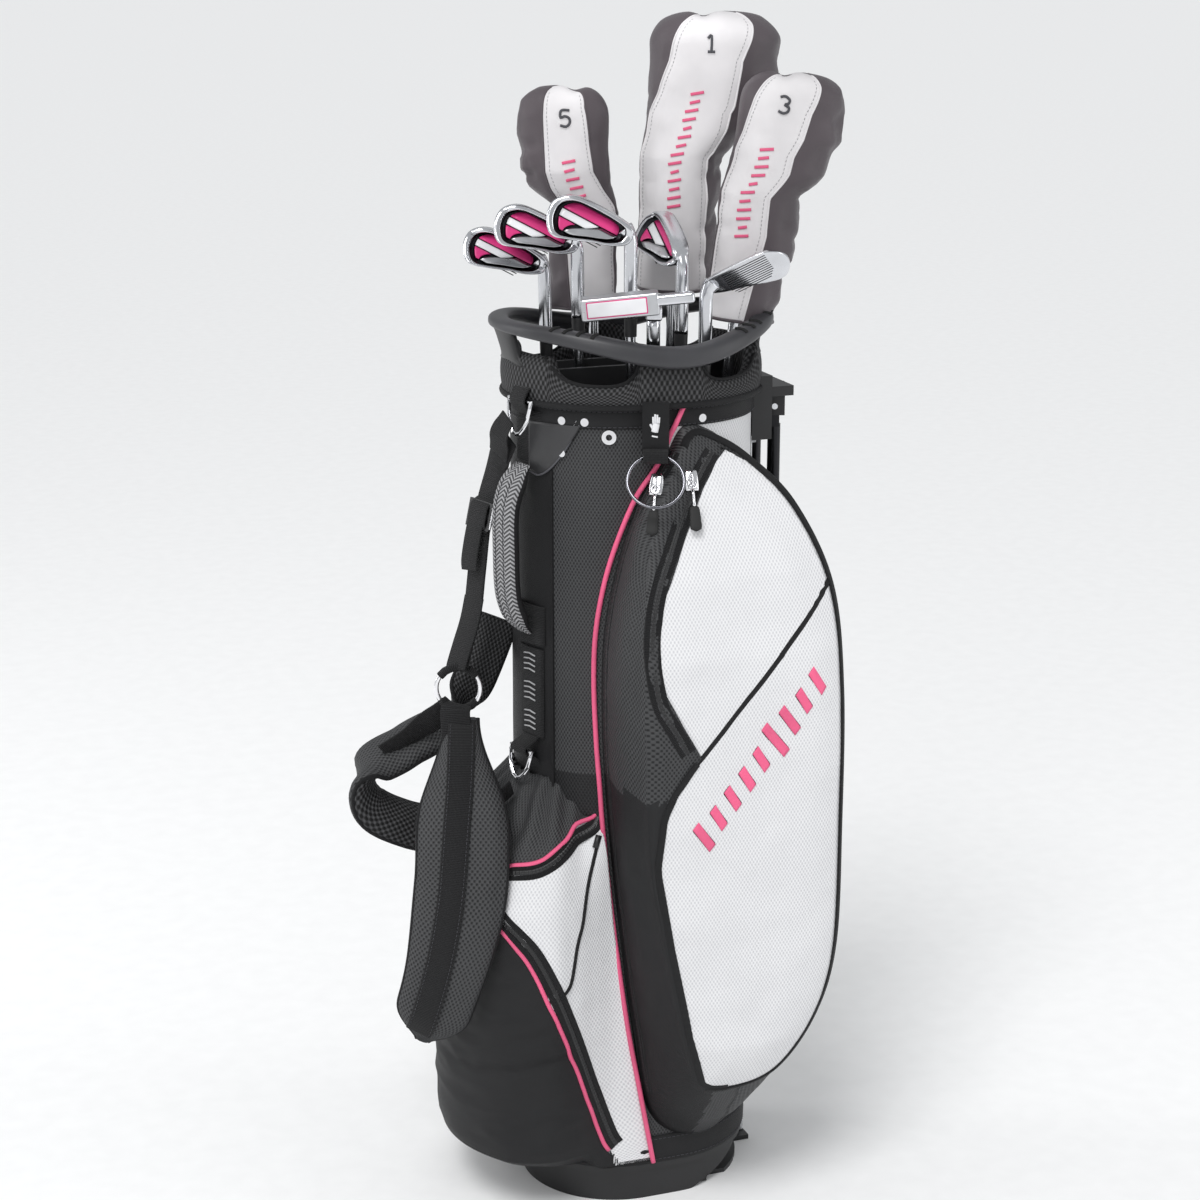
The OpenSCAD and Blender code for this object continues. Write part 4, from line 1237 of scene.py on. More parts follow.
def strap(name, path, side, width, thick, body="bag", slot="webbing", material="webbing"):
    """A flat strap along a path."""
    pts = even(curve(path, 8), 2.5)
    across = Vector(side).normalized()
    ups = []
    for t in tangents(pts):
        ups.append(across.cross(t).normalized())
    section = [(a, b - thick / 2) for a, b in flat_section(width, thick)]
    made = sweep(name, pts, ups, section, body, slot, [BY[material]])
    return made, pts, ups


def make_carry_handle():
    """The padded handle, knitted outside, with stitched grooves."""
    line = curve([(129, 0, 778), (138, 0, 766), (149, 0, 738), (150, 0, 695), (148, 0, 650),
                  (138, 0, 622), (129, 0, 610)], 8)
    line = even([club_turn(SPINE) @ p for p in line], 2.5)
    outward = club_turn(SPINE) @ Vector((1, 0, 0))
    across = club_turn(SPINE) @ Vector((0, 1, 0))
    ups = [t.cross(across) * (1 if t.cross(across).dot(outward) > 0 else -1) for t in tangents(line)]

    def section(i):
        # a padded oval with two stitched grooves down its face
        pts = []
        for k in range(36):
            x, z = squarish(2 * math.pi * k / 36, 18.5, 7.6, 0.65, 0.8)
            if z > 0:
                for groove in (-5, 8.5):
                    z -= 2.0 * math.exp(-((x - groove) / 1.6) ** 2)
            pts.append((x, z))
        return pts

    def size(s):
        ends = smoothstep(0.0, 0.13, s) * smoothstep(1.0, 0.87, s)
        return 0.72 + 0.28 * ends, 0.35 + 0.65 * ends

    def pick(c, i, j):
        return 0 if 1 <= j <= 16 else 1

    handle = sweep("carry_grip", line, ups, section, "bag", "pad_fabric", [BY["knit"], BY["binding"]],
                   size=size, pick=pick)
    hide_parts("carry_handle")
    for k, groove in enumerate((-5, 8.5)):
        path = [p + u * 6.6 + t.cross(u) * groove for p, u, t in
                zip(line, ups, tangents(line))][8:-8]
        stitches(f"grip_stitch_{k}", path, ups[8:-8], "bag", BY["grey_thread"], 2.2, 1.2)


def spine_strip(name, low, high, half, lift, thick, material="webbing", tip=False):
    """A strip of webbing sewn flat on the tube's skin along the handle's line."""
    rows = []
    count = max(4, round((high - low) / 3))
    for i in range(count + 1):
        z = low + (high - low) * i / count
        row = []
        for k in range(13):
            s = -1 + k / 6
            fade = 1 - abs(s) ** 12
            y = s * half
            flat = 20
            base = on_spine(0, 0, 0)
            p = on_spine(124, y, z)
            x = min(p.x + flat, 0)
            radial = Vector((x, p.y, 0)).normalized()
            q = Vector((-flat, 0, z)) + radial * (BAG_D / 2 + lift + thick * fade)
            row.append(q)
        rows.append(row)
    return surface(name, rows, "bag", "webbing", [BY[material]], thick=thick * 0.7)


def make_spine():
    """Webbing down the tube behind the handle, the D-rings' loops and the daisy chain."""
    strips = [spine_strip("spine_low", 500, 592, 20, 0.2, 1.8),
              spine_strip("spine_mid", 596, 636, 22, 0.4, 2.2),
              spine_strip("spine_top", 780, 832, 24, 0.4, 2.2)]
    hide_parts("spine_webbing")
    for k, (r, z, reach) in enumerate(((132, 842, 128.5), (134, 488, 122.3))):
        path = [(reach - 2, z + 14), (reach + 3, z + 9), (r + 2.4, z + 3.4), (r + 3.6, z), (r + 2.4, z - 3.4),
                (reach + 3, z - 9), (reach - 2, z - 14)]
        pts = [on_spine(a, 0, b) for a, b in path]
        strap(f"ring_loop_{k}", pts, on_spine(0, 1, 0), 26, 1.6)
    for group in range(3):
        for bar in range(4):
            z = 586 - group * 30 - bar * 5.5
            pts = []
            for k in range(7):
                y = -9 + 18 * k / 6
                p = on_spine(124, y, z - 1.5 * abs(y) / 9)
                x = min(p.x + 20, 0)
                radial = Vector((x, p.y, 0)).normalized()
                pts.append(Vector((-20, 0, p.z)) + radial * (BAG_D / 2 + 2.6))
            tube(f"daisy_{group}_{bar}", pts, 0.8, "bag", "webbing", BY["thread"], 6)


def make_straps():
    """The shoulder strap's webbing, its slider and the sleeves on its ring."""
    turn = (0.29, -0.957, 0)
    upper, _, _ = strap("strap_upper", [(-136, -22, 804), (-139, -10, 786), (-142, 4, 764), (-154, 5, 721),
                        (-162, 1, 670), (-169, -3, 625), (-180, -9, 594), (-186, -12.5, 574)],
                        turn, 30, 2.6)
    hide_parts("upper_strap")
    strap("strap_tail", [(-157, 4.4, 728), (-163, 3.2, 712), (-168, 1, 692), (-171, -1, 676), (-171, -2, 668)],
          turn, 27, 1.8)
    strap("strap_fold", [(-166.5, -2, 640), (-173, -5.5, 616), (-182, -10, 594), (-189, -13, 576),
                         (-190.5, -14, 571)], turn, 32, 2.0)
    lower, _, _ = strap("strap_lower", [(-144, -46, 452), (-160, -51, 441), (-171, -54, 431), (-179, -56, 423)],
                        (0.6, 0, 0.8), 26, 2.6)
    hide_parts("lower_strap")
    strap("loop_top", [(-141, -38, 826), (-146, -34, 816), (-147, -28, 806), (-144, -18, 794), (-142, -10, 784)],
          (0.29, -0.957, 0), 26, 2.2)
    strap("hub_wrap", [(-190, -17, 536), (-194, -22, 530), (-196, -30, 516), (-198, -42, 492)],
          (0.9, -0.4, 0), 30, 2.4)
    strap("hub_link", [(-192, -10, 534), (-206, -4, 522), (-224, 4, 507), (-243, 10, 492), (-258, 14, 482)],
          (0.52, -0.35, 0.78), 28, 2.4)
    for k, (centre, lean) in enumerate((((-188, -14, 529), 0), ((-187, -13, 573), 0))):
        ring = []
        for m in range(7):
            a = math.radians(-55 + 110 * m / 6) if k == 0 else math.radians(125 + 110 * m / 6)
            hub = Vector((-188, -14, 551))
            across = club_turn(-20) @ Vector((1, 0, 0))
            ring.append(hub + across * 22 * math.sin(a) + Vector((0, 0, -22 * math.cos(a))))
        tube(f"hub_sleeve_{k}", ring, 4.2, "bag", "webbing", BY["webbing"], 14)
    # chrome wire of the slider's near edge
    slider = Matrix.Translation((-157.3, 4, 722)) @ Matrix.Rotation(math.radians(-73.7), 4, "Z") \
        @ Matrix.Rotation(math.radians(-13.5), 4, "X")
    bar = [slider @ Vector((x, y, z)) for x, y, z in ((19, 0, -12), (20.6, 0, -8), (20.6, 0, 8), (19, 0, 12))]
    tube("slider_wire", even(curve(bar, 5), 2), 1.3, "bag", "webbing", BY["chrome"], 10)
    web = [slider @ Vector((0, y, z)) for y, z in ((3, 16), (-2.6, 10), (-3.2, 0), (-2.6, -10), (3, -16))]
    strap("slider_web", web, slider.to_3x3() @ Vector((1, 0, 0)), 30, 1.8)


def pad_from(name, path, side, half, thick, slot, materials, pick=None):
    """A stuffed pad: an oval section that swells between its bound edges."""
    pts = even(curve(path, 8), 3.2)
    n = len(pts)
    flat = [side(i / (n - 1)) if callable(side) else Vector(side) for i in range(n)]
    ups = [t.cross(a.normalized()).normalized() for a, t in zip(flat, tangents(pts))]

    def section(i):
        out = []
        s = i / (n - 1)
        for k in range(40):
            x, z = squarish(2 * math.pi * k / 40, half(s), thick(s), 0.85, 0.8)
            wrinkle = 1.0 * soft((i * 3.2, x, z), 18, 3)
            out.append((x, z + wrinkle * (1 if z > 0 else -1) * min(1, abs(z) / 3)))
        return out

    made = sweep(name, pts, ups, section, "bag", slot, materials, pick=pick)
    return made, pts, ups


def pad_trim(name, made, pts, ups, half, web_w, shift, sides=(1, -1)):
    """Bound edges of a pad, and the webbing that is sewn down its outer face."""
    n = len(pts)
    ts = tangents(pts)
    for k, sign in enumerate(sides):
        path = [p + t.cross(u).normalized() * sign * (half(i / (n - 1)) - 0.6)
                for i, (p, t, u) in enumerate(zip(pts, ts, ups))]
        sweep(f"{name}_edge_{k}", path, ups, round_section(2.3, 8), "bag", "pad_fabric", [BY["binding"]])
    if not web_w:
        return
    tree = tree_of(made)
    path, out = [], []
    for i, (p, t, u) in enumerate(zip(pts, ts, ups)):
        s = i / (n - 1)
        across = t.cross(u).normalized() * shift(s)
        hit = tree.ray_cast(p + across + u * 60, -u)[0]
        if hit and i < n - 4:
            path.append(hit + u * 0.4)
            out.append((u + across * 0.5 / max(1, half(s))).normalized())
    path = relax(path, 6)
    sweep(f"{name}_web", path, out, flat_section(web_w, 2.2), "bag", "webbing", [BY["webbing"]])
    for k, off in enumerate((-web_w / 2 + 2.5, web_w / 2 - 2.5)):
        row = [p + t.cross(u).normalized() * off + u * 2.2 for p, t, u in zip(path, tangents(path), out)]
        stitches(f"{name}_stitch_{k}", row, out, "bag", BY["grey_thread"], 2.4, 1.6)


def puff(made, ups, cap=3.0, frames=20):
    """Swells a pad's two faces by cloth simulation, as stuffing does, between its bound edges."""
    remesh = made.modifiers.new("voxels", "REMESH")
    remesh.mode = "VOXEL"
    remesh.voxel_size = 0.0045
    graph = bpy.context.evaluated_depsgraph_get()
    mesh = bpy.data.meshes.new_from_object(made.evaluated_get(graph))
    made.modifiers.clear()
    ghost = bpy.data.objects.new("swelling", mesh)
    SCENE.collection.objects.link(ghost)
    start = [v.co.copy() for v in mesh.vertices]
    cloth = ghost.modifiers.new("cloth", "CLOTH")
    cloth.settings.use_pressure = True
    cloth.settings.uniform_pressure_force = 4.0
    cloth.settings.effector_weights.gravity = 0
    cloth.settings.quality = 5
    cloth.settings.mass = 0.3
    cloth.collision_settings.use_self_collision = False
    cloth.point_cache.frame_start, cloth.point_cache.frame_end = 1, frames
    for f in range(1, frames + 1):
        SCENE.frame_set(f)
    graph = bpy.context.evaluated_depsgraph_get()
    swollen = ghost.evaluated_get(graph).to_mesh()
    shift = [v.co - a for v, a in zip(swollen.vertices, start)]
    ghost.evaluated_get(graph).to_mesh_clear()
    tree = BVHTree.FromPolygons(start, [p.vertices[:] for p in mesh.polygons])
    last = len(ups) - 1
    around = len(made.data.vertices) // len(ups)
    for v in made.data.vertices:
        row, column = divmod(v.index, around)
        up = ups[min(row, last)]
        face = tree.find_nearest(v.co)[2]
        ids = mesh.polygons[face].vertices
        rise = sum(shift[k].dot(up) for k in ids) / len(ids)
        free = abs(math.sin(2 * math.pi * column / around)) ** 0.6
        free *= smoothstep(0, 6, row) * smoothstep(last, last - 6, row)
        v.co += up * max(-cap * MM, min(cap * MM, rise)) * free
    bpy.data.objects.remove(ghost)
    SCENE.frame_set(1)


def make_pads():
    """The two shoulder pads."""
    front_path = [(-187, -22, 522), (-194, -42, 490), (-202, -68, 440), (-209, -84, 372),
                  (-224, -90, 300), (-240, -84, 240), (-250, -77, 208)]

    def front_half(s):
        return (16 + 29 * smoothstep(0, 0.34, s) - 8 * smoothstep(0.5, 0.9, s)) * math.sqrt(
            max(0.02, 1 - smoothstep(0.86, 1.0, s) ** 2 * 0.97))

    def front_thick(s):
        return 3 + 8.0 * smoothstep(0, 0.2, s) - 7 * smoothstep(0.9, 1, s)

    colours = [BY["pad"], BY["binding"], BY["mesh"]]
    front, pts, ups = pad_from("front_pad", front_path, (0.94, -0.34, 0), front_half, front_thick, "pad_fabric",
                               colours, lambda c, i, j: 0 if j < 20 else 2)
    puff(front, ups)
    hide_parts("front_shoulder_pad")
    pad_trim("front_pad", front, pts, ups, front_half, 27, lambda s: 8 * smoothstep(0.1, 0.5, s))
    rear_path = [(-128, 38, 604), (-149, 36, 556), (-184, 32, 506), (-232, 27, 482), (-274, 22, 462),
                 (-274, 15, 428), (-236, 12, 404), (-196, 14, 392)]

    def rear_side(s):
        return Vector((0.85, -0.3, 0.2)).lerp(Vector((0.42, 0.7, 0.58)), smoothstep(0.1, 0.42, s))

    def rear_half(s):
        return 19 + 7 * smoothstep(0.1, 0.4, s)

    def rear_thick(s):
        return 5 + 5.5 * smoothstep(0.1, 0.4, s)

    rear, pts, ups = pad_from("rear_pad", rear_path, rear_side, rear_half, rear_thick, "pad_fabric",
                              colours, lambda c, i, j: (2 if j < 20 else 0) if i > 30 else 2)
    puff(rear, ups)
    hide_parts("rear_shoulder_pad")
    pad_trim("rear_pad", rear, pts, ups, rear_half, 0, None)


# ---------------------------------------------------------------- towel tab and zip pulls

def at_towel(x, y, z):
    """A place on the towel tab, from its own axes."""
    return Vector((-20, -119, 795)) + club_turn(-20) @ Vector((x, y, z))


def make_towel_tab():
    """The tab that holds the towel ring."""
    pts = [at_towel(0, 5.5, 40), at_towel(0, 4.8, 30), at_towel(0, 4.5, 16), at_towel(0, 4, 8), at_towel(0, 0, 6.2),
           at_towel(0, -4.4, 4.4), at_towel(0, -6.2, 0), at_towel(0, -4.4, -4.4), at_towel(0, 0, -6.2),
           at_towel(0, 4.4, -4.4), at_towel(0, 6.2, 0), at_towel(0, 6.6, 10), at_towel(0, 6.8, 22)]
    tab, _, _ = strap("towel_loop", pts, club_turn(-20) @ Vector((1, 0, 0)), 24, 1.5)
    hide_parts("towel_tab")
    strap("towel_face", [at_towel(0, 4.5, 2), at_towel(0, 1.4, 12), at_towel(0, 1.8, 30), at_towel(0, 2.6, 44),
                         at_towel(0, 4.2, 52)], club_turn(-20) @ Vector((1, 0, 0)), 26, 1.8, material="binding")
    # a plain glove mark on the tab
    def mark(name, pts, r):
        path = [at_towel(x, 0.2 + 0.03 * (z - 10), z) for x, z in pts]
        tube(name, even(path, 1.2), r, "bag", "white_fabric", BY["badge_white"], 8, size=lambda s: 1)
    mark("glove_palm", [(-1, 24), (0, 29), (0.6, 32)], 3.6)
    for k, (x, top) in enumerate(((-2.6, 38.5), (-0.6, 41), (1.5, 40.5), (3.4, 38))):
        mark(f"glove_finger_{k}", [(x * 0.9, 32), (x, top)], 0.95)
    mark("glove_thumb", [(-2.4, 26), (-5.2, 31.5)], 1.1)
    mark("glove_cuff", [(-3.6, 20), (2.0, 19)], 0.9)


def make_pull(name, place, slider_node, pull_node, slider_body, pull_body):
    """A zip slider with its arched bridge, and the hanging rod with a rubber tip."""
    def at(points):
        return [place @ Vector(p) for p in points]
    shell = []
    for k in range(9):
        s = k / 8
        z = -8 + 16 * s
        wide = 3.6 + 1.8 * math.sin(math.pi * (0.25 + 0.6 * s))
        row = []
        for m in range(20):
            x, y = squarish(2 * math.pi * m / 20, wide, 2.6 * (0.8 + 0.2 * math.sin(math.pi * s)), 0.6, 0.6)
            row.append(place @ Vector((x, -3.2 + y, z)))
        shell.append(row)
    body = surface(f"{name}_slider_shell", shell, slider_body, "chrome_trim", [BY["chrome"]], closed=True, caps=True)
    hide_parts(slider_node)
    arch = curve([(0, -5.4, 6), (0, -8.4, 5), (0, -9.6, 1.5), (0, -9.4, -2), (0, -7.8, -4.4),
                  (0, -5.4, -5.4)], 5)
    tube(f"{name}_bridge", at(arch), 1.25, slider_body, "chrome_trim", BY["chrome"], 10)
    eye = [(3.0 * math.sin(a), -7.1, -1.6 - 3.4 * (1 - math.cos(a)) * 0.9) for a in
           [2 * math.pi * k / 20 for k in range(20)]]
    path = at(eye)
    ups = [(place.to_3x3() @ Vector((0, -1, 0))).normalized()] * 20
    loop = sweep(f"{name}_pull_eye", path, ups, round_section(0.95, 8), pull_body, "chrome_trim", [BY["chrome"]],
                 closed=True)
    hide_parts(pull_node)
    rod = at([(0, -7.1, -8), (0, -7.1, -12), (0, -7.1, -17), (0, -7.1, -22)])
    tube(f"{name}_pull_rod", rod, 1.5, pull_body, "chrome_trim", BY["chrome"], 12,
         size=lambda s: 1.25 - 0.35 * math.sin(math.pi * s))
    rows = []
    for k in range(13):
        s = k / 12
        ends = 1 - (2 * s - 1) ** 8
        wide = 4.6 * math.sqrt(max(0.02, ends)) * (0.78 + 0.22 * s)
        row = []
        for m in range(24):
            x, y = squarish(2 * math.pi * m / 24, wide, 2.0 * math.sqrt(max(0.05, ends)))
            row.append(place @ Vector((x, -7.1 + y, -20 - 20 * s)))
        rows.append(row)
    surface(f"{name}_pull_tip", rows, pull_body, "foot_rubber", [BY["rubber"]], closed=True, caps=True)


PIVOT_OUT = 7.1     # the pull turns this far out from its zip
PULL_SCALE = 1.3    # the drawn slider and pull against their CAD solids


def make_pulls():
    """The two zip sliders that show, and their pulls."""
    def turned(x, y, z, tilt, turn):
        # enlarged about the point where the pull's eye turns
        return (Matrix.Translation((x, y, z)) @ Matrix.Rotation(math.radians(turn), 4, "Z")
                @ Matrix.Rotation(math.radians(tilt), 4, "X") @ Matrix.Translation((0, -PIVOT_OUT, 0))
                @ Matrix.Scale(PULL_SCALE, 4) @ Matrix.Translation((0, PIVOT_OUT, 1.6)))
    make_pull("side", turned(-17.2, -115.6, 764, -30, -30), "side_zip_slider", "side_zip_pull",
              "side_zip_slider", "side_zip_pull")
    make_pull("panel", turned(14, -126, 768, -30, -12), "pocket_zip_slider", "pocket_zip_pull",
              "pocket_zip_slider", "pocket_zip_pull")


# ---------------------------------------------------------------- clubs

BUTT_Z, GRIP_R, FAN_Z = 46, 13, 870
CLUBS = {
    "driver": (68.3, 66.3, -20, 1110, 12, 0.82),
    "fairway": (95, -25, -20, 1064, 18, 0.05),
    "hybrid": (-11, 79.5, 160, 1040, 24, 0.82),
    "six_iron": (-16, -40, 160, 970, 27, 0.82),
    "seven_iron": (-52, 9.3, 160, 957.3, 31, 0.82),
    "eight_iron": (35.5, -42.7, 87.5, 944.6, 35, 0.82),
    "nine_iron": (-73, 46.2, 160, 931.9, 39, 0.82),
    "wedge": (47, -75.6, -28.5, 919.2, 44, 0.82),
    "putter": (-5.1, -72.6, -20, 896, 4, 0.82),
}


def club_place(name):
    """Matrix from a club's own axes, butt at the origin and toe along +X, to the frame."""
    x, y, turn, _, _, fan = CLUBS[name]
    lean = Vector((x * (1 - fan), y * (1 - fan), 0))
    tilt = math.atan2(lean.length, FAN_Z - BUTT_Z)
    place = Vector((fan * x, fan * y, BUTT_Z + GRIP_R * math.sin(tilt)))
    return (Matrix.Translation(place) @ Matrix.Rotation(tilt, 4, Vector((-lean.y, lean.x, 0)))
            @ Matrix.Rotation(math.radians(turn), 4, "Z"))


def make_cover(name, w, d, length, profile, edges, marks):
    """A headcover: a padded bulb over the head and a slimmer sock down the shaft."""
    place = club_place(name)
    top = CLUBS[name][3] + 46
    cx, cy = 0.30 * w, 0.22 * d
    half_w, half_d = w / 2, d / 2
    n = 90
    seed = len(name) * 3.7
    slim = min(f for _, f in profile)

    def frame_at(low):
        """Middle and half width of the cover, and the ends of its middle panel, at a height."""
        f = between(profile, low)
        left = between([(s, a) for s, a, b in edges], low)
        right = between([(s, b) for s, a, b in edges], low)
        back = (1 - f) / (1 - slim)
        return f, Vector((cx * (1 - 0.9 * back), cy * (1 - 0.6 * back), 0)), left, right

    def angles(left, right):
        def turn(x):
            x = max(-0.97, min(0.97, x))
            return math.acos(math.copysign(abs(x) ** (1 / 0.92), x))
        a, b = turn(left), turn(right)
        parts = [(2 * math.pi - a, 2 * math.pi - b, 24), (2 * math.pi - b, 2 * math.pi + b, 22),
                 (2 * math.pi + b, 2 * math.pi + a, 18), (2 * math.pi + a, 4 * math.pi - a, 20)]
        out = []
        for start, end, count in parts:
            out += [start + (end - start) * k / count for k in range(count)]
        return out

    rows = []
    for i in range(n + 1):
        s = i / n
        t = 0.0 if s < 0.76 else (s - 0.76) / 0.24 * math.pi / 2
        z = top - length + (length - 34) * s / 0.76 if s < 0.76 else top - 34 + 32.5 * math.sin(t)
        low = (z - (top - length)) / length
        f, centre, left, right = frame_at(low)
        cap = max(0.03, math.cos(t)) ** 0.55
        notch = 5.0 * math.exp(-((s - 1) / 0.1) ** 2)
        row = []
        for b in angles(left, right):
            co, si = math.cos(b), math.sin(b)
            x, y = squarish(b, half_w * f * cap, half_d * (0.55 + 0.45 * f) * cap, 0.92, 0.92)
            p = centre + Vector((x, y, z))
            side = smoothstep(0.3, 0.75, abs(co)) * min(1, cap * 1.5)
            side *= 1.0 if co > 0 else 0.3
            crease = 4.6 * abs(soft((p.x * 1.2, p.y * 1.2, z * 0.7 + seed), 27, seed)) * side
            ripple = max(0, math.sin(z * 0.16 + 3.5 * soft(p, 40, seed)))
            crease += 2.6 * side * ripple * smoothstep(0.95, 0.7, low)
            front = 1.5 * abs(soft((p.x, p.y, z), 55, seed)) * (1 - side)
            out = Vector((co, si, 0))
            p = p - out * (0.8 + crease + front)
            p.z -= notch * math.exp(-((p.x - centre.x + 12) / 9) ** 2)
            row.append(place @ p)
        rows.append(row)

    def pick(c, i, j):
        return 0 if j < 24 or 46 <= j < 64 else 1

    body = f"{name}_cover"
    cover = surface(f"{name}_cover_cloth", rows, body, "cover_fabric",
                    [BY["cover_white"], BY["cover_grey"]], closed=True, pick=pick, thick=2.0)
    fill_rings(cover, len(rows[0]), [(len(rows) - 1, 0)])
    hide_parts(body)

    def outward(p):
        q = place.inverted() @ p
        return (p - place @ Vector((cx, cy, q.z))).normalized()

    for k, column in enumerate((0, 24, 46, 64)):
        path = [r[column] for r in rows[: int(n * 0.97)]]
        ups = [outward(p) for p in path]
        sweep(f"{name}_cover_seam_{k}", path, ups, round_section(1.0, 8), body, "cover_fabric",
              [BY["cover_white"] if k < 2 else BY["cover_grey"]])
        inset = [rows[i][(column + (2 if k in (0, 2) else -2)) % len(rows[0])] for i in range(int(n * 0.93))]
        stitches(f"{name}_cover_stitch_{k}", inset, ups, body, BY["thread"], 2.2, 1.8, 0.3)
    sweep(f"{name}_cover_hem", rows[0], [outward(p) for p in rows[0]], round_section(1.6, 8), body,
          "cover_fabric", [BY["cover_grey"]], closed=True)

    def middle_x(z):
        f, centre, left, right = frame_at((z - (top - length)) / length)
        return centre.x + half_w * f * (left + right) / 2

    mark_cover(name, cover, place, top, middle_x, marks)
    return cover

DIGITS = {
    "1": [[(-3.5, 6), (0, 9), (0, -9)], [(-3.5, -9), (3.5, -9)]],
    "3": [[(-4.5, 8), (0, 9.5), (4.5, 6), (3.5, 1.5), (0, 0.4), (4.5, -2.5), (4, -7), (0, -9.5), (-5, -7.5)]],
    "5": [[(4.5, 9), (-3.5, 9), (-4.2, 1), (0, 2.6), (4.4, 0), (4.6, -5.5), (1, -9.3), (-4.6, -7.6)]],
}


def mark_cover(name, cover, place, top, middle_x, marks):
    """The club's number, and a plain column of pink bars down the middle panel."""
    digit, first, last = marks
    tree = tree_of(cover)
    toward = (place.to_3x3() @ Vector((0, 1, 0))).normalized()
    if toward.y < 0:
        toward = -toward
    flip = 1 if (place.to_3x3() @ Vector((0, 1, 0))).y > 0 else -1

    def line(label, pts, material, width=None):
        path, ups = [], []
        for x, z in pts:
            start = place @ Vector((x, 0, z)) - toward * 200
            hit, normal, _, _ = tree.ray_cast(start, toward)
            if hit is not None:
                up = normal if normal.dot(toward) < 0 else -normal
                path.append(hit + up * (0.2 if width else 0.5))
                ups.append(up)
        if len(path) > 2:
            section = flat_section(width, 0.9) if width else round_section(1.3, 8)
            sweep(label, path, ups, section, f"{name}_cover", "cover_fabric", [BY[material]])

    for k, stroke in enumerate(DIGITS[digit]):
        pts = even(curve([(x, z, 0) for x, z in stroke], 4), 1.5)
        line(f"{name}_digit_{k}", [(middle_x(top - 32) + flip * p.x, top - 32 + p.y * 0.85) for p in pts],
             "grey_thread")
    count = round((last - first) / 8.5)
    for k in range(count):
        z = top - first - k * 8.5
        wide = (6.5, 5.0, 6.5, 6.5, 4.0)[k % 5]
        x = middle_x(z)
        bar = [(x + flip * wide * (m / 5 - 1), z + 1.2 * (m / 5 - 1)) for m in range(11)]
        line(f"{name}_bar_{k}", bar, "pink", 3.0)


def make_covers():
    """The three headcovers."""
    make_cover("driver", 134, 106, 276,
               [(0, 0.60), (0.25, 0.62), (0.48, 0.64), (0.58, 0.84), (0.66, 0.96), (0.8, 1), (1, 1)],
               [(0, -0.97, 0.72), (0.5, -0.97, 0.62), (0.64, -0.95, 0.34), (0.82, -0.72, 0.38), (0.95, -0.6, 0.6),
                (1, -0.5, 0.6)], ("1", 80, 200))
    make_cover("fairway", 106, 80, 244,
               [(0, 0.70), (0.35, 0.80), (0.5, 0.77), (0.6, 0.92), (0.74, 1), (1, 1)],
               [(0, -0.95, 0.1), (0.38, -0.95, 0.15), (0.57, -0.95, 0.22), (0.67, -0.95, 0.16), (0.84, -0.8, 0.3),
                (0.95, -0.7, 0.5), (1, -0.6, 0.5)], ("3", 76, 170))
    make_cover("hybrid", 94, 64, 220,
               [(0, 0.78), (0.3, 0.76), (0.42, 0.66), (0.54, 0.9), (0.62, 1), (1, 1)],
               [(0, -0.95, 0.3), (0.34, -0.92, 0.5), (0.46, -0.92, 0.6), (0.62, -0.66, 0.40), (0.9, -0.5, 0.44),
                (1, -0.6, 0.5)], ("5", 74, 120))


# Outline of an iron's blade, from its heel: x towards the toe, z towards the sole.
BLADE = [(-7, -20), (-6, -6), (8, -1), (40, 0), (62, -3), (75, -15), (76, -31), (69, -45),
         (60, -49), (46, -45), (24, -36), (6, -30)]


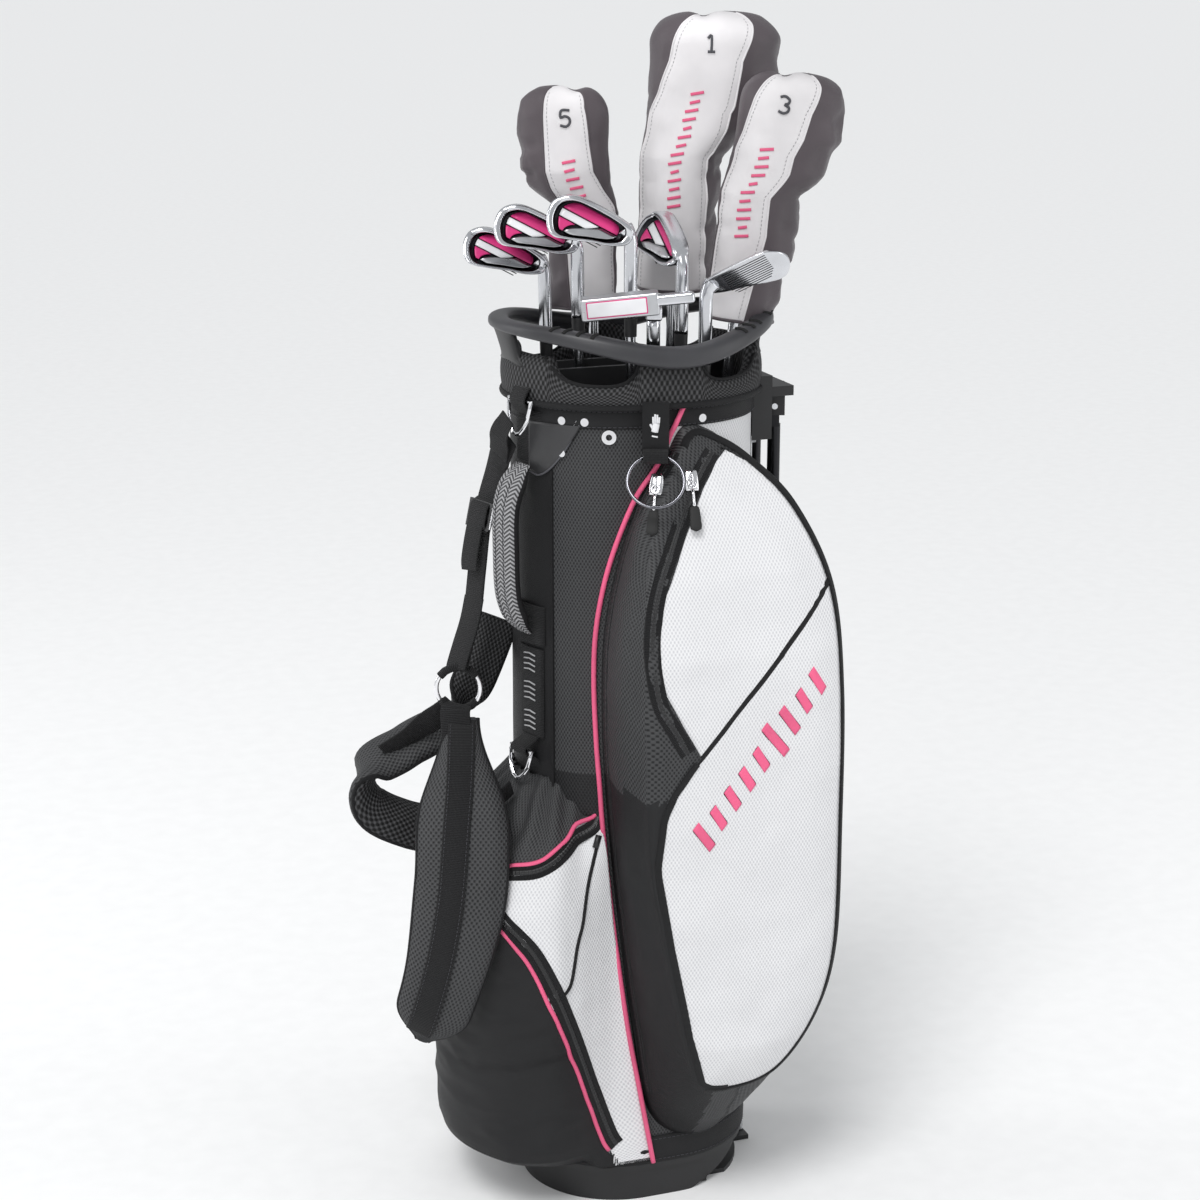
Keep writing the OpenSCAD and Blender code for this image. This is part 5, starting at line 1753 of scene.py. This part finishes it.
def make_iron(name):
    """An iron's cavity-back head, with its badge, hosel and grooves."""
    place = club_place(name)
    length, loft = CLUBS[name][3], math.radians(CLUBS[name][4])
    cl = math.cos(loft)
    drop, back = 49 * cl, 49 * math.sin(loft)
    lie = Matrix.Translation((0, 0, length - 8)) @ Matrix.Rotation(math.radians(-28), 4, "Y")
    world = place @ lie
    outline = curve([(x, 0, z * cl) for x, z in BLADE], 8, closed=True)
    centre = Vector((37, 0, -23 * cl))

    def front(z):
        return -9 + (-z / drop) * (back + 3)

    def rear(z):
        return between([(-drop, back - 1), (-drop * 0.4, 2 + back * 0.4), (-12, 9), (-5, 10), (0, 8)], z)

    def ring(inset, kind, shift):
        row = []
        for p in outline:
            q = p.lerp(centre, inset)
            y = {"front": front(q.z), "rear": rear(q.z), "floor": front(q.z) + 3.0}[kind] + shift
            if kind == "rear":
                y = max(y, front(q.z) + 4)
            row.append(world @ Vector((q.x, y, q.z)))
        return row

    spec = [(0.9, "front", 0), (0.5, "front", 0), (0.2, "front", 0), (0.06, "front", 0),
            (0.015, "front", 0.6), (0.0, "front", 2.2), (0.0, "rear", -2.4), (0.012, "rear", -1.0),
            (0.04, "rear", -0.2), (0.08, "rear", 0), (0.13, "rear", 0), (0.16, "rear", -0.5), (0.18, "rear", -1.6),
            (0.215, "floor", 0.6), (0.24, "floor", 0), (0.5, "floor", 0), (0.9, "floor", 0)]
    rows = [ring(*s) for s in spec]

    # the back rim's inner faces and the cavity's floor take the near-black material: painted shadow inside the cavity
    def pick(c, i, j):
        return 0 if i < 11 else 1

    head = surface(f"{name}_blade", rows, name, "iron_steel", [BY["steel"], BY["cavity"]],
                   closed=True, pick=pick, uv=lambda p: (p.x, p.z))
    fill_rings(head, len(outline), [(0, 0), (len(rows) - 1, 1)])
    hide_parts(f"{name}_head")

    # the badge: raised stripes along the top line at the toe end, and a silver wedge that cuts them
    inner = [p.lerp(centre, 0.30) for p in outline]
    zs = [p.z for p in inner]
    low, high = min(zs) + 0.3, max(zs) - 0.3

    def limits(z):
        xs = []
        for a, b in zip(inner, inner[1:] + inner[:1]):
            if (a.z - z) * (b.z - z) <= 0 and abs(a.z - b.z) > 1e-6:
                xs.append(a.x + (b.x - a.x) * (z - a.z) / (b.z - a.z))
        return (max(xs), min(xs)) if len(xs) > 1 else (centre.x, centre.x)

    stripes = [(0.02, 0.34, 0.0, 0.98, 0.0, "badge_pink"), (0.39, 0.60, 0.0, 0.66, -0.5, "badge_white"),
               (0.65, 0.97, 0.0, 0.50, -0.5, "badge_pink"), (0.39, 0.97, 0.72, 1.0, -0.62, "satin")]
    for k, (v0, v1, u0, u1, slant, key) in enumerate(stripes):
        rows = []
        for m in range(7):
            v = v0 + (v1 - v0) * m / 6
            z = high + (low - high) * v
            toe, heel = limits(z)
            lean = slant * (v - 0.39)
            a, b = (u0, u1 + lean) if key != "satin" else (u0 + lean, u1)
            row = []
            for q in range(9):
                x = toe + (heel - toe) * (a + (b - a) * q / 8)
                proud = 1.5 if 0 < q < 8 and 0 < m < 6 else 1.1
                row.append(world @ Vector((x, front(z) + 3.0 + proud, z)))
            rows.append(row)
        surface(f"{name}_badge_{k}", rows, name, "iron_steel", [BY[key]], thick=1.1)

    hosel = curve([(0, 0, length - 92), (0, 0, length - 60), (0, 0, length - 38), (0.3, 0, length - 26),
                   (2.0, 0.5, length - 19), (6, 1, length - 13)], 6)
    path = [place @ p for p in hosel]
    ups = any_ups(path, (0, 1, 0))
    sweep(f"{name}_hosel", path, ups, round_section(6.6, 24), name, "iron_steel", [BY["steel"]],
          size=lambda s: (1 + 0.32 * smoothstep(0.72, 1, s), 1 - 0.12 * smoothstep(0.8, 1, s)))
    # the score lines: near-black boxes set into the face, painted shade in the grooves
    verts, faces = [], []
    for k in range(11):
        z = -(7 + 3.2 * k) * cl
        left, right = 14 + max(0, k - 8) * 2, 60 - max(0, k - 7) * 2
        half = 0.4
        base = len(verts)
        for dy in (-0.15, 0.3):
            for x, dz in ((left, -half), (left, half), (right, half), (right, -half)):
                verts.append(world @ Vector((x, front(z + dz) + dy, z + dz)))
        faces += [tuple(base + q for q in f) for f in
                  ((0, 1, 2, 3), (7, 6, 5, 4), (0, 4, 5, 1), (1, 5, 6, 2), (2, 6, 7, 3), (3, 7, 4, 0))]
    grooves = mesh_object(f"{name}_grooves", verts, faces, None, None, [BY["cavity"]], False)
    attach(grooves, name)


def rounded_box(name, low, high, r, matrix, body, material):
    """A box with rounded edges, by bevel, in a given frame."""
    xs, ys, zs = zip(low, high)
    verts = [matrix @ Vector((x, y, z)) for x in xs for y in ys for z in zs]
    faces = [(0, 1, 3, 2), (4, 6, 7, 5), (0, 4, 5, 1), (2, 3, 7, 6), (0, 2, 6, 4), (1, 5, 7, 3)]
    made = mesh_object(name, verts, faces, None, None, [material], False)
    bevel = made.modifiers.new("bevel", "BEVEL")
    bevel.width = r * MM
    bevel.segments = 3
    bevel.harden_normals = True
    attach(made, body)
    return made


def make_putter():
    """The putter's head."""
    length = CLUBS["putter"][3]
    head = club_place("putter") @ Matrix.Translation((0, 0, length - 24))
    blade = head @ Matrix.Translation((-68, -40, 4)) @ Matrix.Rotation(math.radians(-6), 4, "Y")
    body = rounded_box("putter_blade", (0, 0, 0), (74, 24, 22), 2.6, blade,
                       "putter", BY["satin"])
    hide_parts("putter_head")
    rounded_box("putter_arm", (70, 0, 8), (108, 14, 19), 3.5, blade, "putter", BY["steel"])
    rounded_box("putter_neck", (-8, -20, 2), (8, 6, 16), 3, head, "putter", BY["steel"])
    rounded_box("putter_frame", (5, -0.5, 3), (63, 1, 19), 2.5, blade,
                "putter", BY["badge_pink"])
    rounded_box("putter_insert", (6, -0.9, 4), (62, 1, 18), 2.5, blade,
                "putter", BY["badge_white"])
    path = [club_place("putter") @ Vector((0, 0, length - down)) for down in (50, 40, 30, 20)]
    tube("putter_hosel", path, 6.6, "putter", "putter_steel", BY["steel"], 20)


# ---------------------------------------------------------------- CAD nodes that stay

def dress(node, *materials, pick=None):
    """Gives a CAD node its materials; pick chooses one for each face."""
    mesh = NODES[node].data
    mesh.materials.clear()
    for m in materials:
        mesh.materials.append(m)
    picks = [0] * len(mesh.polygons)
    if pick:
        for k, face in enumerate(mesh.polygons):
            picks[k] = pick(face.center / MM)
    mesh.polygons.foreach_set("material_index", picks)


def dress_shaft(name):
    """Steel, grip rubber and ferrule on a club's shaft."""
    length = CLUBS[name][3]
    back = club_place(name).inverted()
    mouth = {"driver": 84, "fairway": 84, "hybrid": 84, "putter": 50}.get(name, 92)

    def pick(c):
        q = back @ c
        r = math.hypot(q.x, q.y)
        if q.z > length - mouth - 27 and r > 5.35:
            return 2
        if q.z < 266 and r > 7.75:
            return 1
        return 0

    dress(f"{name}_shaft", BY["steel"], BY["rubber"], BY["plastic"], pick=pick)


def dress_frame():
    """Materials of the CAD nodes that stay visible."""
    for node, key in (("base_cup", "plastic"), ("base_pad", "foam"), ("foot_plate", "plastic"),
                      ("foot_hinge_pin", "steel"), ("tube_stays", "plastic"), ("divider_grid", "plastic"),
                      ("strap_d_rings", "chrome"), ("strap_buckle", "plastic"), ("strap_ring", "chrome"),
                      ("towel_ring", "dark_chrome"), ("rivets", "chrome"),
                      ("leg_bracket", "plastic"), ("leg_pins", "steel"), ("left_leg", "leg"),
                      ("right_leg", "leg"), ("left_leg_foot", "rubber"), ("right_leg_foot", "rubber"),
                      ("pull_rod", "brushed"), ("rod_guides", "plastic"), ("driver_head", "crown"),
                      ("fairway_head", "crown"), ("hybrid_head", "crown")):
        dress(node, BY[key])
    for name in CLUBS:
        dress_shaft(name)


# ---------------------------------------------------------------- build

BY = make_materials()
make_camera()
make_studio()
skin = make_skin()
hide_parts("bag_tube")
upper, lower = make_side_pockets()
make_skin_trim()
make_side_trim(upper, lower)
make_pocket_trim(*make_large_pocket())
make_collar()
make_rim()
make_carry_handle()
make_spine()
make_straps()
make_pads()
make_towel_tab()
make_pulls()
make_covers()
for iron in ("six_iron", "seven_iron", "eight_iron", "nine_iron", "wedge"):
    make_iron(iron)
make_putter()
dress_frame()
